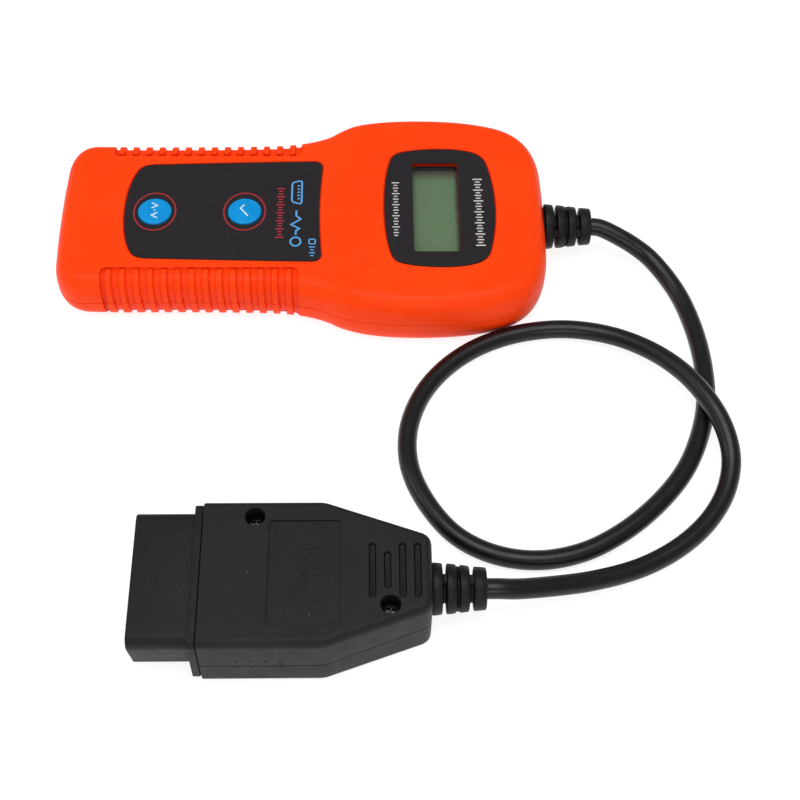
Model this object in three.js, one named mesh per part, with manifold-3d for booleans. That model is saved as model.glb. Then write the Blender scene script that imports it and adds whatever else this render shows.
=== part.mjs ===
// OBD code reader: a handheld diagnostic scanner with two keys and a small display, its cable,
// and the 16-pin vehicle plug at the cable's end.
// Millimetres, +Z up. The origin is on the ground under the middle of the reader's case.
// +X runs along the case towards the cable, +Y across it, away from the plug.
import * as THREE from 'three';
import { mergeVertices } from 'three/addons/utils/BufferGeometryUtils.js';
import Module from 'manifold-3d';

const wasm = await Module();
wasm.setup();

// ---------- driving dimensions ----------
const GAP = 0.3; // clearance between pieces that meet

// Reader case
const CASE_END = 84.3; // half of the case's length
const SPLIT_Z = 11; // the plane where the two half-shells meet
const GRIP_TOP = 20; // top of the handle
const HEAD_TOP = 22; // top of the display end
const RAMP = [7.6, 20]; // x where the top starts and stops rising to the head
const CASE_WALL = 2;
const EDGE_ROUND = 6; // how far the rounded edge comes in at the top
const KEEL_ROUND = 6.8; // the same at the underside
const EDGE_POWER = 2.6; // 2 would be an ellipse; more is squarer
const HEEL_TUCK = 0.8; // how much rounder the underside is at the end away from the cable

// Finger grips: ribs left standing between grooves on both sides
const RIB_COUNT = 14;
const RIB_PITCH = 4.65;
const RIB_WIDTH = { upper: 2.2, lower: 2.5 };
const FIRST_RIB_X = -64.6;
const GROOVE_DEPTH = 0.9;
const GRIP_SPAN = [-67.2, -1];
const GRIP_TOP_EDGE = 26.2; // distance from the centre line where the grip's recess starts on top
const RIB_END = 26.7; // and where the ribs between them start
const GRIP_FOOT = 2.6; // height where the grooves stop on the underside's edge

// Keys and labels
const KEY_X = [-51, -20];
const KEY_Y = -0.65;
const KEY_RADIUS = 5.8;
const KEY_SIDES = 24;
const FILM = 0.35; // thickness of the label films
const FILM_DEPTH = 0.5; // depth of the recesses that hold them
const LABEL_STEPS = 5; // straight steps in each curve of a label's outline

// Display
const WINDOW_X = 46.2;
const WINDOW = [15.9, 40.4];
const LCD_BOARD = [32, 58];
const LCD_FRAME = [27, 51];
const LCD_GLASS = [23.4, 47.4];

// Boards and screws
const BOARD_Z = 8;
const BOARD_THICK = 1.6;
const CASE_SCREWS = [[-74, 21], [-74, -21], [70, 28], [70, -28]];
const BOARD_SCREWS = [[-60, 18], [-60, -18], [56, 31], [56, -31]];
const SCREW_R = 1.25;

// Vehicle plug
const PLUG_Y = -142.6;
const PLUG_FRONT = -46.9; // mouth of the shroud
const COLLAR_X = [-29.2, -26.8];
const HOOD_FRONT = -26.5;
const HOOD_TAPER = 9.6; // where the hood starts to narrow
const HOOD_END = 41.2;
const HOOD_HALF = 23.7;
const HOOD_TAIL_HALF = 12.2;
const HOOD_TOP = 25;
const HOOD_SPLIT = 12.5;
const HOOD_WALL = 2;
const HOOD_BEVEL = [2, 3]; // width and height of the bevelled edges
const SHROUD_Z = [2.6, 22.3];
const SHROUD_HALF = [19.4, 21.9]; // half width at the bottom and at the top
const SHROUD_CORNERS = [3.2, 4]; // size of the rounded corners at the bottom and at the top
const SHROUD_WALL = 1.6;
const PIN_PITCH = 4;
const PIN_ROWS = [16.9, 8.1];
const PIN_SIZE = [1.6, 1];
const PIN_X = [-42.2, -14];
const PLUG_SCREWS = [[-11.1, 18], [28.9, -11]];

// Cable
const CORD_RADIUS = 3.15;
const CORD_SIDES = 10;
const BOOT_LENGTH = 16;
const BOOT_RINGS = [[0, 2.5, 7.9], [4.2, 6.7, 7.55], [8.2, 10.7, 7.1], [12.3, BOOT_LENGTH, 6.6]];
const BOOT_FLOORS = [4.2, 5.7, 4.2]; // radius left in each gap between the rings
const BOOT_WEB = [1.1, 5.8]; // half width and height of the webs that bridge the gaps
const BOOT_RIM = [6.4, 4.3]; // how deep inside the housing's end its holding rim sits

// ---------- solids ----------
function solid(geometry) {
  const bare = geometry.clone();
  bare.deleteAttribute('normal');
  bare.deleteAttribute('uv');
  const merged = mergeVertices(bare, 1e-4);
  const corners = merged.index.array;
  const kept = [];
  for (let i = 0; i < corners.length; i += 3) {
    const [a, b, c] = [corners[i], corners[i + 1], corners[i + 2]];
    if (a !== b && b !== c && c !== a) kept.push(a, b, c);
  }
  const vertProperties = new Float32Array(merged.attributes.position.array);
  return new wasm.Manifold(new wasm.Mesh({ numProp: 3, vertProperties, triVerts: new Uint32Array(kept) }));
}

function geometryOf(body) {
  const mesh = body.getMesh();
  const geometry = new THREE.BufferGeometry();
  geometry.setAttribute('position', new THREE.BufferAttribute(new Float32Array(mesh.vertProperties), 3));
  geometry.setIndex(new THREE.BufferAttribute(new Uint32Array(mesh.triVerts), 1));
  return geometry;
}

function join(...bodies) {
  return bodies.reduce((all, body) => all.add(body));
}

function cut(body, ...tools) {
  return tools.reduce((rest, tool) => rest.subtract(tool), body);
}

// A box given by its low and high corners.
function block([x0, y0, z0], [x1, y1, z1]) {
  const box = new THREE.BoxGeometry(x1 - x0, y1 - y0, z1 - z0);
  box.translate((x0 + x1) / 2, (y0 + y1) / 2, (z0 + z1) / 2);
  return solid(box);
}

function roundRect(width, depth, radius) {
  const [w, d] = [width / 2, depth / 2];
  const shape = new THREE.Shape();
  shape.moveTo(-w + radius, -d);
  shape.lineTo(w - radius, -d);
  shape.absarc(w - radius, -d + radius, radius, -Math.PI / 2, 0);
  shape.lineTo(w, d - radius);
  shape.absarc(w - radius, d - radius, radius, 0, Math.PI / 2);
  shape.lineTo(-w + radius, d);
  shape.absarc(-w + radius, d - radius, radius, Math.PI / 2, Math.PI);
  shape.lineTo(-w, -d + radius);
  shape.absarc(-w + radius, -d + radius, radius, Math.PI, 1.5 * Math.PI);
  return shape;
}

// A flat outline raised from z0 to z1, moved to (x, y).
function plate(shape, z0, z1, x = 0, y = 0, curveSegments = 4) {
  const geometry = new THREE.ExtrudeGeometry(shape, { depth: z1 - z0, bevelEnabled: false, curveSegments });
  geometry.translate(x, y, z0);
  return solid(geometry);
}

// A turned piece standing on +Z at (x, y): the profile is a list of [radius, z].
function turned(profile, x, y, sides = 12) {
  const geometry = new THREE.LatheGeometry(profile.map(([r, z]) => new THREE.Vector2(r, z)), sides);
  geometry.rotateX(Math.PI / 2);
  geometry.translate(x, y, 0);
  return solid(geometry);
}

function rod(radius, z0, z1, x, y, sides = 12) {
  return turned([[0, z0], [radius, z0], [radius, z1], [0, z1]], x, y, sides);
}

// A turned piece lying along +X on the axis (y, z): the profile is a list of [radius, x].
function turnedAlongX(profile, y, z, sides = 14) {
  const geometry = new THREE.LatheGeometry(profile.map(([r, x]) => new THREE.Vector2(r, x)), sides);
  geometry.rotateZ(-Math.PI / 2);
  geometry.translate(0, y, z);
  return solid(geometry);
}

// A tube of the given radius along a smooth curve through the points.
function tube(points, radius, sides, steps) {
  const ring = Array.from({ length: sides }, (_, i) => {
    const angle = ((i + 0.5) / sides) * 2 * Math.PI;
    return new THREE.Vector2(radius * Math.cos(angle), radius * Math.sin(angle));
  });
  const route = points.map((p) => new THREE.Vector3(...p));
  const extrudePath = new THREE.CatmullRomCurve3(route, false, 'centripetal');
  return new THREE.ExtrudeGeometry(new THREE.Shape(ring), { steps, extrudePath });
}

// ---------- lofted housings ----------
// Samples one half (y >= 0) of an outline that is symmetric about the x axis, with its normals.
function sampleHalf(path, divisions) {
  const stations = [];
  path.curves.forEach((curve, index) => {
    const count = divisions[index];
    for (let i = index === 0 ? 0 : 1; i <= count; i++) {
      const point = curve.getPoint(i / count);
      const tangent = curve.getTangent(i / count);
      stations.push({ x: point.x, y: point.y, nx: -tangent.y, ny: tangent.x });
    }
  });
  return stations;
}

// Closed solid with the outline's shape, built of rings from bottom to top. A ring is
// [inset, fraction]: inset(ring, x) says how far it is set in from the outline at x, and
// height(fraction, x) how high it lies, so a top face may rise along the length.
function loft(stations, rings, height, insetAt = (ring) => ring[0]) {
  const last = stations.length - 1;
  const around = 2 * last;
  const positions = [];
  for (const ring of rings) {
    for (let i = 0; i < around; i++) {
      const mirrored = i > last;
      const station = stations[mirrored ? around - i : i];
      const atEnd = i === 0 || i === last;
      const inset = insetAt(ring, station.x);
      const x = station.x - station.nx * inset;
      const y = atEnd ? 0 : station.y - station.ny * inset;
      positions.push(x, mirrored ? -y : y, height(ring[1], x));
    }
  }
  const index = [];
  const quad = (a, b, c, d) => index.push(a, b, c, a, c, d);
  for (let k = 0; k < rings.length - 1; k++) {
    for (let i = 0; i < around; i++) {
      const next = (i + 1) % around;
      quad(k * around + next, k * around + i, (k + 1) * around + i, (k + 1) * around + next);
    }
  }
  const top = (rings.length - 1) * around;
  for (let i = 0; i < last; i++) {
    const [a, b] = [i, i + 1];
    const [c, d] = [(around - i) % around, (around - i - 1) % around];
    quad(a, b, d, c);
    quad(top + c, top + d, top + b, top + a);
  }
  const geometry = new THREE.BufferGeometry();
  geometry.setAttribute('position', new THREE.Float32BufferAttribute(positions, 3));
  geometry.setIndex(index);
  return solid(geometry);
}

// ---------- reader case ----------
function caseOutline() {
  const path = new THREE.Path();
  path.moveTo(-CASE_END, 0);
  path.bezierCurveTo(-CASE_END, 8, -84.1, 15, -83.8, 21);
  path.bezierCurveTo(-83.4, 28.5, -79.6, 32.7, -73, 33);
  path.bezierCurveTo(-55, 32.7, -30, 32.7, -12, 33.3);
  path.bezierCurveTo(-3, 33.6, 4, 34.9, 9.5, 38);
  path.bezierCurveTo(15, 41.4, 24, 44, 40, 44);
  path.bezierCurveTo(52, 44, 61, 42.9, 69, 40.2);
  path.bezierCurveTo(77.4, 37.2, 83.1, 30.5, 84, 19);
  path.bezierCurveTo(84.3, 13, CASE_END, 7, CASE_END, 0);
  return sampleHalf(path, [2, 4, 2, 4, 4, 3, 4, 2]);
}

const CASE_STATIONS = caseOutline();

function ramp(x) {
  const t = THREE.MathUtils.smoothstep(x, RAMP[0], RAMP[1]);
  return GRIP_TOP + (HEAD_TOP - GRIP_TOP) * t;
}

// The side profile is a quarter superellipse from the split to the flat face.
function edgeRings(set, round, steps) {
  return Array.from({ length: steps + 1 }, (_, i) => {
    const angle = (i / steps) * (Math.PI / 2);
    const share = (value) => Math.max(value, 0) ** (2 / EDGE_POWER);
    const [out, up] = [share(Math.cos(angle)), share(Math.sin(angle))];
    return [set + round * (1 - out), up];
  });
}

// The whole case as one solid, set in by an amount on every side.
function caseBody(set, steps = 4) {
  const up = edgeRings(set, EDGE_ROUND, steps);
  const keel = edgeRings(set, KEEL_ROUND, steps).slice(1).reverse();
  const down = keel.map(([inset, fraction]) => [inset, -fraction]);
  const height = (fraction, x) => {
    const limit = fraction > 0 ? ramp(x) - set : set;
    return SPLIT_Z + (limit - SPLIT_Z) * Math.abs(fraction);
  };
  const insetAt = ([inset, fraction], x) => {
    const tuck = fraction < 0 ? HEEL_TUCK * THREE.MathUtils.smoothstep(-x, 66, CASE_END) : 0;
    return set + (inset - set) * (1 + tuck);
  };
  return loft(CASE_STATIONS, [...down, ...up], height, insetAt);
}

// One half (y >= 0) of a label's outline, mirrored and moved out by a margin on every side.
function labelShape(start, curves, margin) {
  const half = new THREE.Path();
  half.moveTo(...start);
  curves.forEach((points) => half.bezierCurveTo(...points.flat()));
  const points = half.getPoints(LABEL_STEPS);
  const outline = [...points, ...points.slice(1, -1).reverse().map((p) => new THREE.Vector2(p.x, -p.y))];
  const count = outline.length;
  return new THREE.Shape(outline.map((point, i) => {
    const along = outline[(i + 1) % count].clone().sub(outline[(i + count - 1) % count]).normalize();
    return new THREE.Vector2(point.x - along.y * margin, point.y + along.x * margin);
  }));
}

// The key label: a bowed end on the left, sides that spread a little, a hollow right end.
function keyLabelShape(margin) {
  return labelShape([-61.4, 0], [
    [[-61.4, 6.5], [-60.5, 13], [-58.5, 17.4]],
    [[-57.3, 20], [-56, 21], [-52.8, 21.2]],
    [[-34, 21.8], [-16, 22.3], [3.4, 22.7]],
    [[5.6, 22.7], [6.8, 21.6], [6.7, 19.4]],
    [[6.2, 13], [5.8, 7], [5.8, 0]],
  ], margin);
}

// The display label: four bowed sides with wide corners.
function displayLabelShape(margin) {
  return labelShape([28.3, 0], [
    [[28.3, 8], [29, 16], [30.7, 21.6]],
    [[31.4, 23.8], [32.9, 24.9], [35.3, 25.4]],
    [[39, 26.4], [44, 26.8], [48.6, 26.8]],
    [[53, 26.8], [56.6, 26.2], [59.4, 25.2]],
    [[61.6, 24.4], [63.1, 23], [64, 20.8]],
    [[65.7, 15], [66.7, 7], [66.7, 0]],
  ], margin);
}

function windowShape(margin) {
  return roundRect(WINDOW[0] + 2 * margin, WINDOW[1] + 2 * margin, 1.2 + margin);
}

// Grooves between the grip ribs, above (side +1) or below (side -1) the split.
function gripGrooves(side) {
  const [z0, z1] = side > 0 ? [SPLIT_Z, 25] : [GRIP_FOOT, SPLIT_Z];
  const half = (side > 0 ? RIB_WIDTH.upper : RIB_WIDTH.lower) / 2;
  const slots = [[...GRIP_SPAN, RIB_END]];
  for (let i = 0; i <= RIB_COUNT; i++) {
    const x0 = i === 0 ? GRIP_SPAN[0] : FIRST_RIB_X + (i - 1) * RIB_PITCH + half;
    const x1 = i === RIB_COUNT ? GRIP_SPAN[1] : FIRST_RIB_X + i * RIB_PITCH - half;
    slots.push([x0, x1, 40]);
  }
  const blocks = slots.flatMap(([x0, x1, far]) => [
    block([x0, GRIP_TOP_EDGE, z0], [x1, far, z1]),
    block([x0, -far, z0], [x1, -GRIP_TOP_EDGE, z1]),
  ]);
  return cut(join(...blocks), caseBody(GROOVE_DEPTH, 3));
}

// The hole in both half-shells that holds the boot's neck, and the wider pocket inside the wall.
function cableHole() {
  return turnedAlongX([[0, 70], [4.8, 70], [4.8, 90], [0, 90]], 0, SPLIT_Z);
}

function frontShell() {
  const outer = cut(caseBody(0), block([-100, -60, -5], [100, 60, SPLIT_Z + GAP / 2]));
  const hollow = caseBody(CASE_WALL, 2);
  const within = caseBody(1);
  const posts = CASE_SCREWS.map(([x, y]) => rod(3.2, SPLIT_Z + GAP, HEAD_TOP - 1.5, x, y).intersect(within));
  const pilots = CASE_SCREWS.map(([x, y]) => rod(SCREW_R + GAP, 5, 16.6, x, y));
  const keyHoles = KEY_X.map((x) => rod(KEY_RADIUS + GAP, 12, 24, x, KEY_Y, KEY_SIDES));
  const body = join(cut(outer, hollow), ...posts);
  return cut(
    body,
    ...pilots,
    ...keyHoles,
    plate(keyLabelShape(GAP), GRIP_TOP - FILM_DEPTH, 30, 0, 0, LABEL_STEPS),
    plate(displayLabelShape(GAP), HEAD_TOP - FILM_DEPTH, 30, 0, 0, LABEL_STEPS),
    plate(windowShape(0), 12, 30, WINDOW_X),
    gripGrooves(1),
    cableHole(),
  );
}

function rearShell() {
  const outer = cut(caseBody(0), block([-100, -60, SPLIT_Z - GAP / 2], [100, 60, 30]));
  const hollow = caseBody(CASE_WALL, 2);
  const top = SPLIT_Z - GAP / 2;
  const bosses = CASE_SCREWS.map(([x, y]) => rod(4, 1, top, x, y));
  const posts = BOARD_SCREWS.map(([x, y]) => rod(3, 1, BOARD_Z - GAP, x, y));
  const body = join(cut(outer, hollow), ...bosses, ...posts);
  return cut(
    body,
    ...CASE_SCREWS.map(([x, y]) => rod(2.9, -1, 3.6, x, y)),
    ...CASE_SCREWS.map(([x, y]) => rod(SCREW_R + GAP, 0, 14, x, y)),
    ...BOARD_SCREWS.map(([x, y]) => rod(SCREW_R + GAP, 3.4, 14, x, y)),
    gripGrooves(-1),
    cableHole(),
  );
}

// ---------- labels, keys and display ----------
function keyOverlay() {
  const z = GRIP_TOP - FILM_DEPTH + 0.1;
  const holes = KEY_X.map((x) => rod(KEY_RADIUS + GAP, 12, 24, x, KEY_Y, KEY_SIDES));
  return cut(plate(keyLabelShape(0), z, z + FILM, 0, 0, LABEL_STEPS), ...holes);
}

function displayOverlay() {
  const z = HEAD_TOP - FILM_DEPTH + 0.1;
  const sheet = plate(displayLabelShape(0), z, z + FILM, 0, 0, LABEL_STEPS);
  return cut(sheet, plate(windowShape(0), 12, 30, WINDOW_X));
}

const KEY_UNDERSIDE = 16.7;

// A round key cap: domed top, and a wider rim under the case wall that stops it falling out.
function keyCap(x) {
  const rim = GRIP_TOP - CASE_WALL - GAP;
  const profile = [
    [0, KEY_UNDERSIDE], [7, KEY_UNDERSIDE], [7, rim], [KEY_RADIUS, rim], [KEY_RADIUS, GRIP_TOP - 0.1],
    [KEY_RADIUS - 0.8, GRIP_TOP + 0.3], [KEY_RADIUS / 2, GRIP_TOP + 0.5], [0, GRIP_TOP + 0.6],
  ];
  return turned(profile, x, KEY_Y, KEY_SIDES);
}

const SWITCH_Z = [BOARD_Z + BOARD_THICK + GAP, 13.4];

function switchBase(x) {
  const body = plate(roundRect(6, 6, 0.6), ...SWITCH_Z, x, KEY_Y, 2);
  const well = rod(2, 11, 14, x, KEY_Y);
  const legs = [-1, 1].map((side) => {
    const middle = x + side * 3.4;
    return block([middle - 0.6, KEY_Y - 2.6, SWITCH_Z[0]], [middle + 0.6, KEY_Y + 2.6, 10.6]);
  });
  return cut(join(body, ...legs), well);
}

function switchPlunger(x) {
  return rod(1.7, 12, KEY_UNDERSIDE - GAP, x, KEY_Y);
}

function displayLens() {
  const under = HEAD_TOP - CASE_WALL - GAP;
  const flange = plate(roundRect(WINDOW[0] + 4, WINDOW[1] + 4, 2), under - 0.8, under, WINDOW_X);
  return join(flange, plate(windowShape(-GAP), under - 0.4, HEAD_TOP - 0.4, WINDOW_X));
}

function centredBlock([width, depth], z0, z1, x = WINDOW_X, y = 0) {
  return block([x - width / 2, y - depth / 2, z0], [x + width / 2, y + depth / 2, z1]);
}

function lcdFrame() {
  const inner = [LCD_GLASS[0] + 2 * GAP, LCD_GLASS[1] + 2 * GAP];
  return cut(
    centredBlock(LCD_FRAME, 13, 18.5),
    centredBlock(inner, 12, 18),
    centredBlock([WINDOW[0] + 1.4, WINDOW[1] + 1.2], 12, 20),
  );
}

// ---------- electronics ----------
function mainBoard() {
  const shape = new THREE.Shape();
  const half = [[-68, 24], [22, 24], [26, 35], [62, 35], [62, 14], [72, 14]];
  shape.moveTo(half[0][0], -half[0][1]);
  half.slice(1).forEach(([x, y]) => shape.lineTo(x, -y));
  [...half].reverse().forEach(([x, y]) => shape.lineTo(x, y));
  const holes = BOARD_SCREWS.map(([x, y]) => rod(SCREW_R + GAP, 0, 20, x, y));
  return cut(plate(shape, BOARD_Z, BOARD_Z + BOARD_THICK), ...holes);
}

function lcdBoard() {
  const corners = [[-1, -1], [-1, 1], [1, -1], [1, 1]];
  const holes = corners.map(([i, j]) => rod(1.3, 10, 14, WINDOW_X + i * 13.6, j * 26.6, 10));
  return cut(centredBlock(LCD_BOARD, 11.1, 12.7), ...holes);
}

const CHIP_Z = BOARD_Z + BOARD_THICK + GAP;

// A flat chip with a row of legs along its two long sides.
function chip(x, y, width, depth, thick, legs) {
  const pitch = (width - 1.2) / (legs - 1);
  const rows = [];
  for (const side of [-1, 1]) {
    for (let i = 0; i < legs; i++) {
      const lx = x - width / 2 + 0.6 + i * pitch;
      const ly = y + side * (depth / 2 + 0.4);
      rows.push(block([lx - 0.2, ly - 0.6, CHIP_Z], [lx + 0.2, ly + 0.6, CHIP_Z + 0.6]));
    }
  }
  return join(centredBlock([width, depth], CHIP_Z + 0.1, CHIP_Z + thick, x, y), ...rows);
}

function capacitor(x, y, radius, height) {
  const top = CHIP_Z + height;
  const profile = [[0, CHIP_Z], [radius, CHIP_Z], [radius, CHIP_Z + 1.2], [radius - 0.4, CHIP_Z + 1.6],
    [radius, CHIP_Z + 2], [radius, top - 0.3], [radius - 0.3, top], [0, top]];
  return turned(profile, x, y, 12);
}

// Pan-head screw with a cross recess; the head is up when dir is 1 and down when it is -1.
function screw(x, y, seat, length, dir, head = 2.5) {
  const z = (h) => seat + dir * h;
  const profile = [[0, z(-length)], [SCREW_R, z(-length + 0.6)], [SCREW_R, z(0)], [head, z(0)],
    [head, z(0.9)], [head * 0.7, z(1.5)], [0, z(1.7)]];
  const ordered = dir > 0 ? profile : [...profile].reverse();
  const arm = head * 0.62;
  const low = Math.min(z(0.7), z(2));
  const high = Math.max(z(0.7), z(2));
  return cut(
    turned(ordered, x, y, 10),
    block([x - arm, y - 0.35, low], [x + arm, y + 0.35, high]),
    block([x - 0.35, y - arm, low], [x + 0.35, y + arm, high]),
  );
}

// ---------- cable ----------
// Ribbed strain relief along +X from a housing's face: rings outside, neck and rim inside.
// The first and last gaps have webs across the given direction, the middle one across the other.
function boot(face, y, z, webs) {
  const [rim0, rim1] = BOOT_RIM.map((depth) => face - depth);
  const start = face + GAP;
  const profile = [[0, rim0], [6, rim0], [6, rim1], [4.4, rim1], [4.4, start]];
  const bridges = [];
  BOOT_RINGS.forEach(([x0, x1, radius], i) => {
    profile.push([radius, start + x0], [radius - 0.25, start + x1]);
    if (i === BOOT_FLOORS.length) return;
    const gapEnd = start + BOOT_RINGS[i + 1][0];
    profile.push([BOOT_FLOORS[i], start + x1], [BOOT_FLOORS[i], gapEnd]);
    const upright = (webs === 'upright') === (i !== 1);
    const [halfY, halfZ] = upright ? BOOT_WEB : [...BOOT_WEB].reverse();
    bridges.push(block([start + x1 - 0.2, y - halfY, z - halfZ], [gapEnd + 0.2, y + halfY, z + halfZ]));
  });
  profile.push([0, start + BOOT_LENGTH]);
  return join(turnedAlongX(profile, y, z, 16), ...bridges);
}

// Centre line of the cord: out of the reader, one open loop on the ground that crosses over
// its own first stretch, and back into the plug.
const CORD_ROUTE = [
  [101.1, 0, 11], [104.4, -0.6, 11], [111.5, -3.7, 9.4], [117.2, -6.6, 7.4], [122.2, -10.4, 5.5],
  [129.5, -22, 3.6], [133.4, -35, 3.2], [135.4, -52, 3.2], [134.6, -68.5, 3.2], [131, -82, 3.2],
  [124.6, -95.5, 3.2], [115, -107.5, 3.2], [102.5, -118.2, 3.2], [89.2, -125.4, 3.2], [75.4, -128.2, 3.2],
  [61.8, -126.2, 3.2], [50, -119.5, 3.2], [41, -107.7, 3.2], [35.8, -94, 3.2], [35.6, -80.5, 3.2],
  [39.8, -67.5, 3.2], [47.4, -56.6, 3.2], [58.4, -47.6, 3.2], [72.2, -41.6, 3.2], [88.6, -39.4, 3.4],
  [104, -42.8, 4.8], [116.8, -50.8, 7.2], [126.8, -61.5, 9.2], [133.6, -73, 9.8], [137.8, -83.4, 8.4],
  [139.1, -93.2, 6], [136.6, -103.4, 4.2], [130.2, -113.8, 3.4], [120.2, -123.2, 3.2], [107, -130.9, 3.6],
  [91.4, -136.5, 5.6], [77.4, -140.1, 8.8], [66.5, -142.2, 11.4], [61.2, -142.6, 12.5], [57.9, -142.6, 12.5],
];

// Insulated cores that fan out of the stripped end of the cord's jacket at (x, y, z).
function wires(targets, x, y, z) {
  const side = Math.sign(targets[0][0] - x);
  const runs = targets.map((target, i) => {
    const angle = (i / targets.length) * 2 * Math.PI;
    const start = [x + side * 0.4, y + 1.9 * Math.cos(angle), z + 1.9 * Math.sin(angle)];
    const mid = start.map((value, k) => (value + target[k]) / 2);
    return solid(tube([start, mid, target], 0.6, 6, 5));
  });
  const [x0, x1] = [x - 0.6, x + 0.6];
  const jacket = turnedAlongX([[0, x0], [CORD_RADIUS, x0], [CORD_RADIUS, x1], [0, x1]], y, z, 12);
  return join(jacket, ...runs);
}

// ---------- vehicle plug ----------
function hoodOutline() {
  const reach = HOOD_FRONT - 4;
  const path = new THREE.Path();
  path.moveTo(reach, 0);
  path.lineTo(reach, HOOD_HALF);
  path.lineTo(HOOD_TAPER, HOOD_HALF);
  path.lineTo(38.6, HOOD_TAIL_HALF + 0.9);
  path.bezierCurveTo(40.4, HOOD_TAIL_HALF, HOOD_END, HOOD_TAIL_HALF - 1, HOOD_END, 9);
  path.lineTo(HOOD_END, 0);
  return path;
}

// Offsets of the hood's few stations are taken at its corners, so walls stay parallel.
function hoodStations() {
  const points = [];
  hoodOutline().curves.forEach((curve, index) => {
    const count = curve.isLineCurve ? 1 : 3;
    for (let i = index === 0 ? 0 : 1; i <= count; i++) points.push(curve.getPoint(i / count));
  });
  return points.map((point, i) => {
    const before = points[i - 1] ?? new THREE.Vector2(point.x, -points[1].y);
    const after = points[i + 1] ?? new THREE.Vector2(point.x, -points[points.length - 2].y);
    const a = point.clone().sub(before).normalize();
    const b = after.clone().sub(point).normalize();
    const normal = new THREE.Vector2(-a.y - b.y, a.x + b.x).normalize();
    const stretch = 1 / (normal.x * -a.y + normal.y * a.x);
    return { x: point.x, y: point.y, nx: normal.x * stretch, ny: normal.y * stretch };
  });
}

const HOOD_STATIONS = hoodStations();

// The hood as one solid, set in by an amount and cut off square at its front.
function hoodBody(set, front) {
  const [width, height] = HOOD_BEVEL;
  const bevelAt = 1 - height / (HOOD_TOP - HOOD_SPLIT);
  const middle = [set + width * 0.35, bevelAt + (1 - bevelAt) * 0.7];
  const up = [[set, 0], [set, bevelAt], middle, [set + width, 1]];
  const down = up.slice(1).reverse().map(([inset, fraction]) => [inset, -fraction]);
  const reach = HOOD_TOP - HOOD_SPLIT - set;
  const whole = loft(HOOD_STATIONS, [...down, ...up], (fraction) => HOOD_SPLIT + fraction * reach);
  return cut(whole, block([-60, -60, -20], [front, 60, 50])).translate([0, PLUG_Y, 0]);
}

// Walls with a screw boss at each screw: side is +1 for the upper half and -1 for the lower.
function hoodHalf(side) {
  const [low, high] = side > 0 ? [-20, HOOD_SPLIT + GAP / 2] : [HOOD_SPLIT - GAP / 2, 40];
  const away = block([-60, PLUG_Y - 60, low], [60, PLUG_Y + 60, high]);
  const bosses = PLUG_SCREWS.map(([x, y]) => {
    const [z0, z1] = side > 0 ? [HOOD_SPLIT + GAP / 2, HOOD_TOP - 1] : [1, HOOD_SPLIT - GAP / 2];
    return rod(4.3, z0, z1, x, y + PLUG_Y).intersect(hoodBody(0.8, HOOD_FRONT));
  });
  const shell = cut(hoodBody(0, HOOD_FRONT), away, hoodBody(HOOD_WALL, -60));
  const neck = turnedAlongX([[0, 33], [4.8, 33], [4.8, 50], [0, 50]], PLUG_Y, HOOD_SPLIT);
  const shafts = PLUG_SCREWS.map(([x, y]) => rod(SCREW_R + GAP, 3, 30, x, y + PLUG_Y));
  return cut(join(shell, ...bosses), neck, ...shafts);
}

const SCREW_SEAT = 19.5;

function plugUpperShell() {
  const top = HOOD_TOP;
  const sinks = PLUG_SCREWS.map(([x, y]) => rod(2.95, SCREW_SEAT, 30, x, y + PLUG_Y, 20));
  const panel = plate(roundRect(21.2, 34, 1.2), top - 0.6, 30, 3.8, PLUG_Y - 0.3, 3);
  const grooves = [[23.7, 8.9], [28.1, 6.1], [32.5, 8.9], [36.9, 8.9]].map(([x, half]) =>
    plate(roundRect(2.05, 2 * half, 1), top - 0.8, 30, x, PLUG_Y, 3));
  return cut(hoodHalf(1), ...sinks, panel, ...grooves);
}

// The connector body: collar, block held in the hood, and the shroud around the pins.
function shroudShape(grow = 0) {
  const [bottom, top] = SHROUD_HALF.map((half) => half + grow);
  const [z0, z1] = [SHROUD_Z[0] - grow, SHROUD_Z[1] + grow];
  const [low, high] = SHROUD_CORNERS.map((corner) => Math.max(corner + grow, 0.6));
  const shape = new THREE.Shape();
  shape.moveTo(-bottom + low, z0);
  shape.lineTo(bottom - low, z0);
  shape.quadraticCurveTo(bottom, z0, bottom, z0 + low);
  shape.lineTo(top, z1 - high);
  shape.quadraticCurveTo(top, z1, top - high, z1);
  shape.lineTo(-top + high, z1);
  shape.quadraticCurveTo(-top, z1, -top, z1 - high);
  shape.lineTo(-bottom, z0 + low);
  shape.quadraticCurveTo(-bottom, z0, -bottom + low, z0);
  return shape;
}

// Raises an outline drawn in y and z along x, from x0 to x1.
function alongX(shape, x0, x1, curveSegments = 3) {
  const geometry = new THREE.ExtrudeGeometry(shape, { depth: x1 - x0, bevelEnabled: false, curveSegments });
  geometry.applyMatrix4(new THREE.Matrix4().set(0, 0, 1, x0, 1, 0, 0, PLUG_Y, 0, 1, 0, 0, 0, 0, 0, 1));
  return solid(geometry);
}

function collarShape(half, z0, z1, radius) {
  const shape = roundRect(2 * half, z1 - z0, radius);
  const middle = (z0 + z1) / 2;
  return new THREE.Shape(shape.getPoints(3).map((p) => new THREE.Vector2(p.x, p.y + middle)));
}

const PIN_COLUMNS = Array.from({ length: 8 }, (_, i) => PLUG_Y + (i - 3.5) * PIN_PITCH);
const PIN_PLACES = PIN_ROWS.flatMap((z) => PIN_COLUMNS.map((y) => [y, z]));

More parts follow.
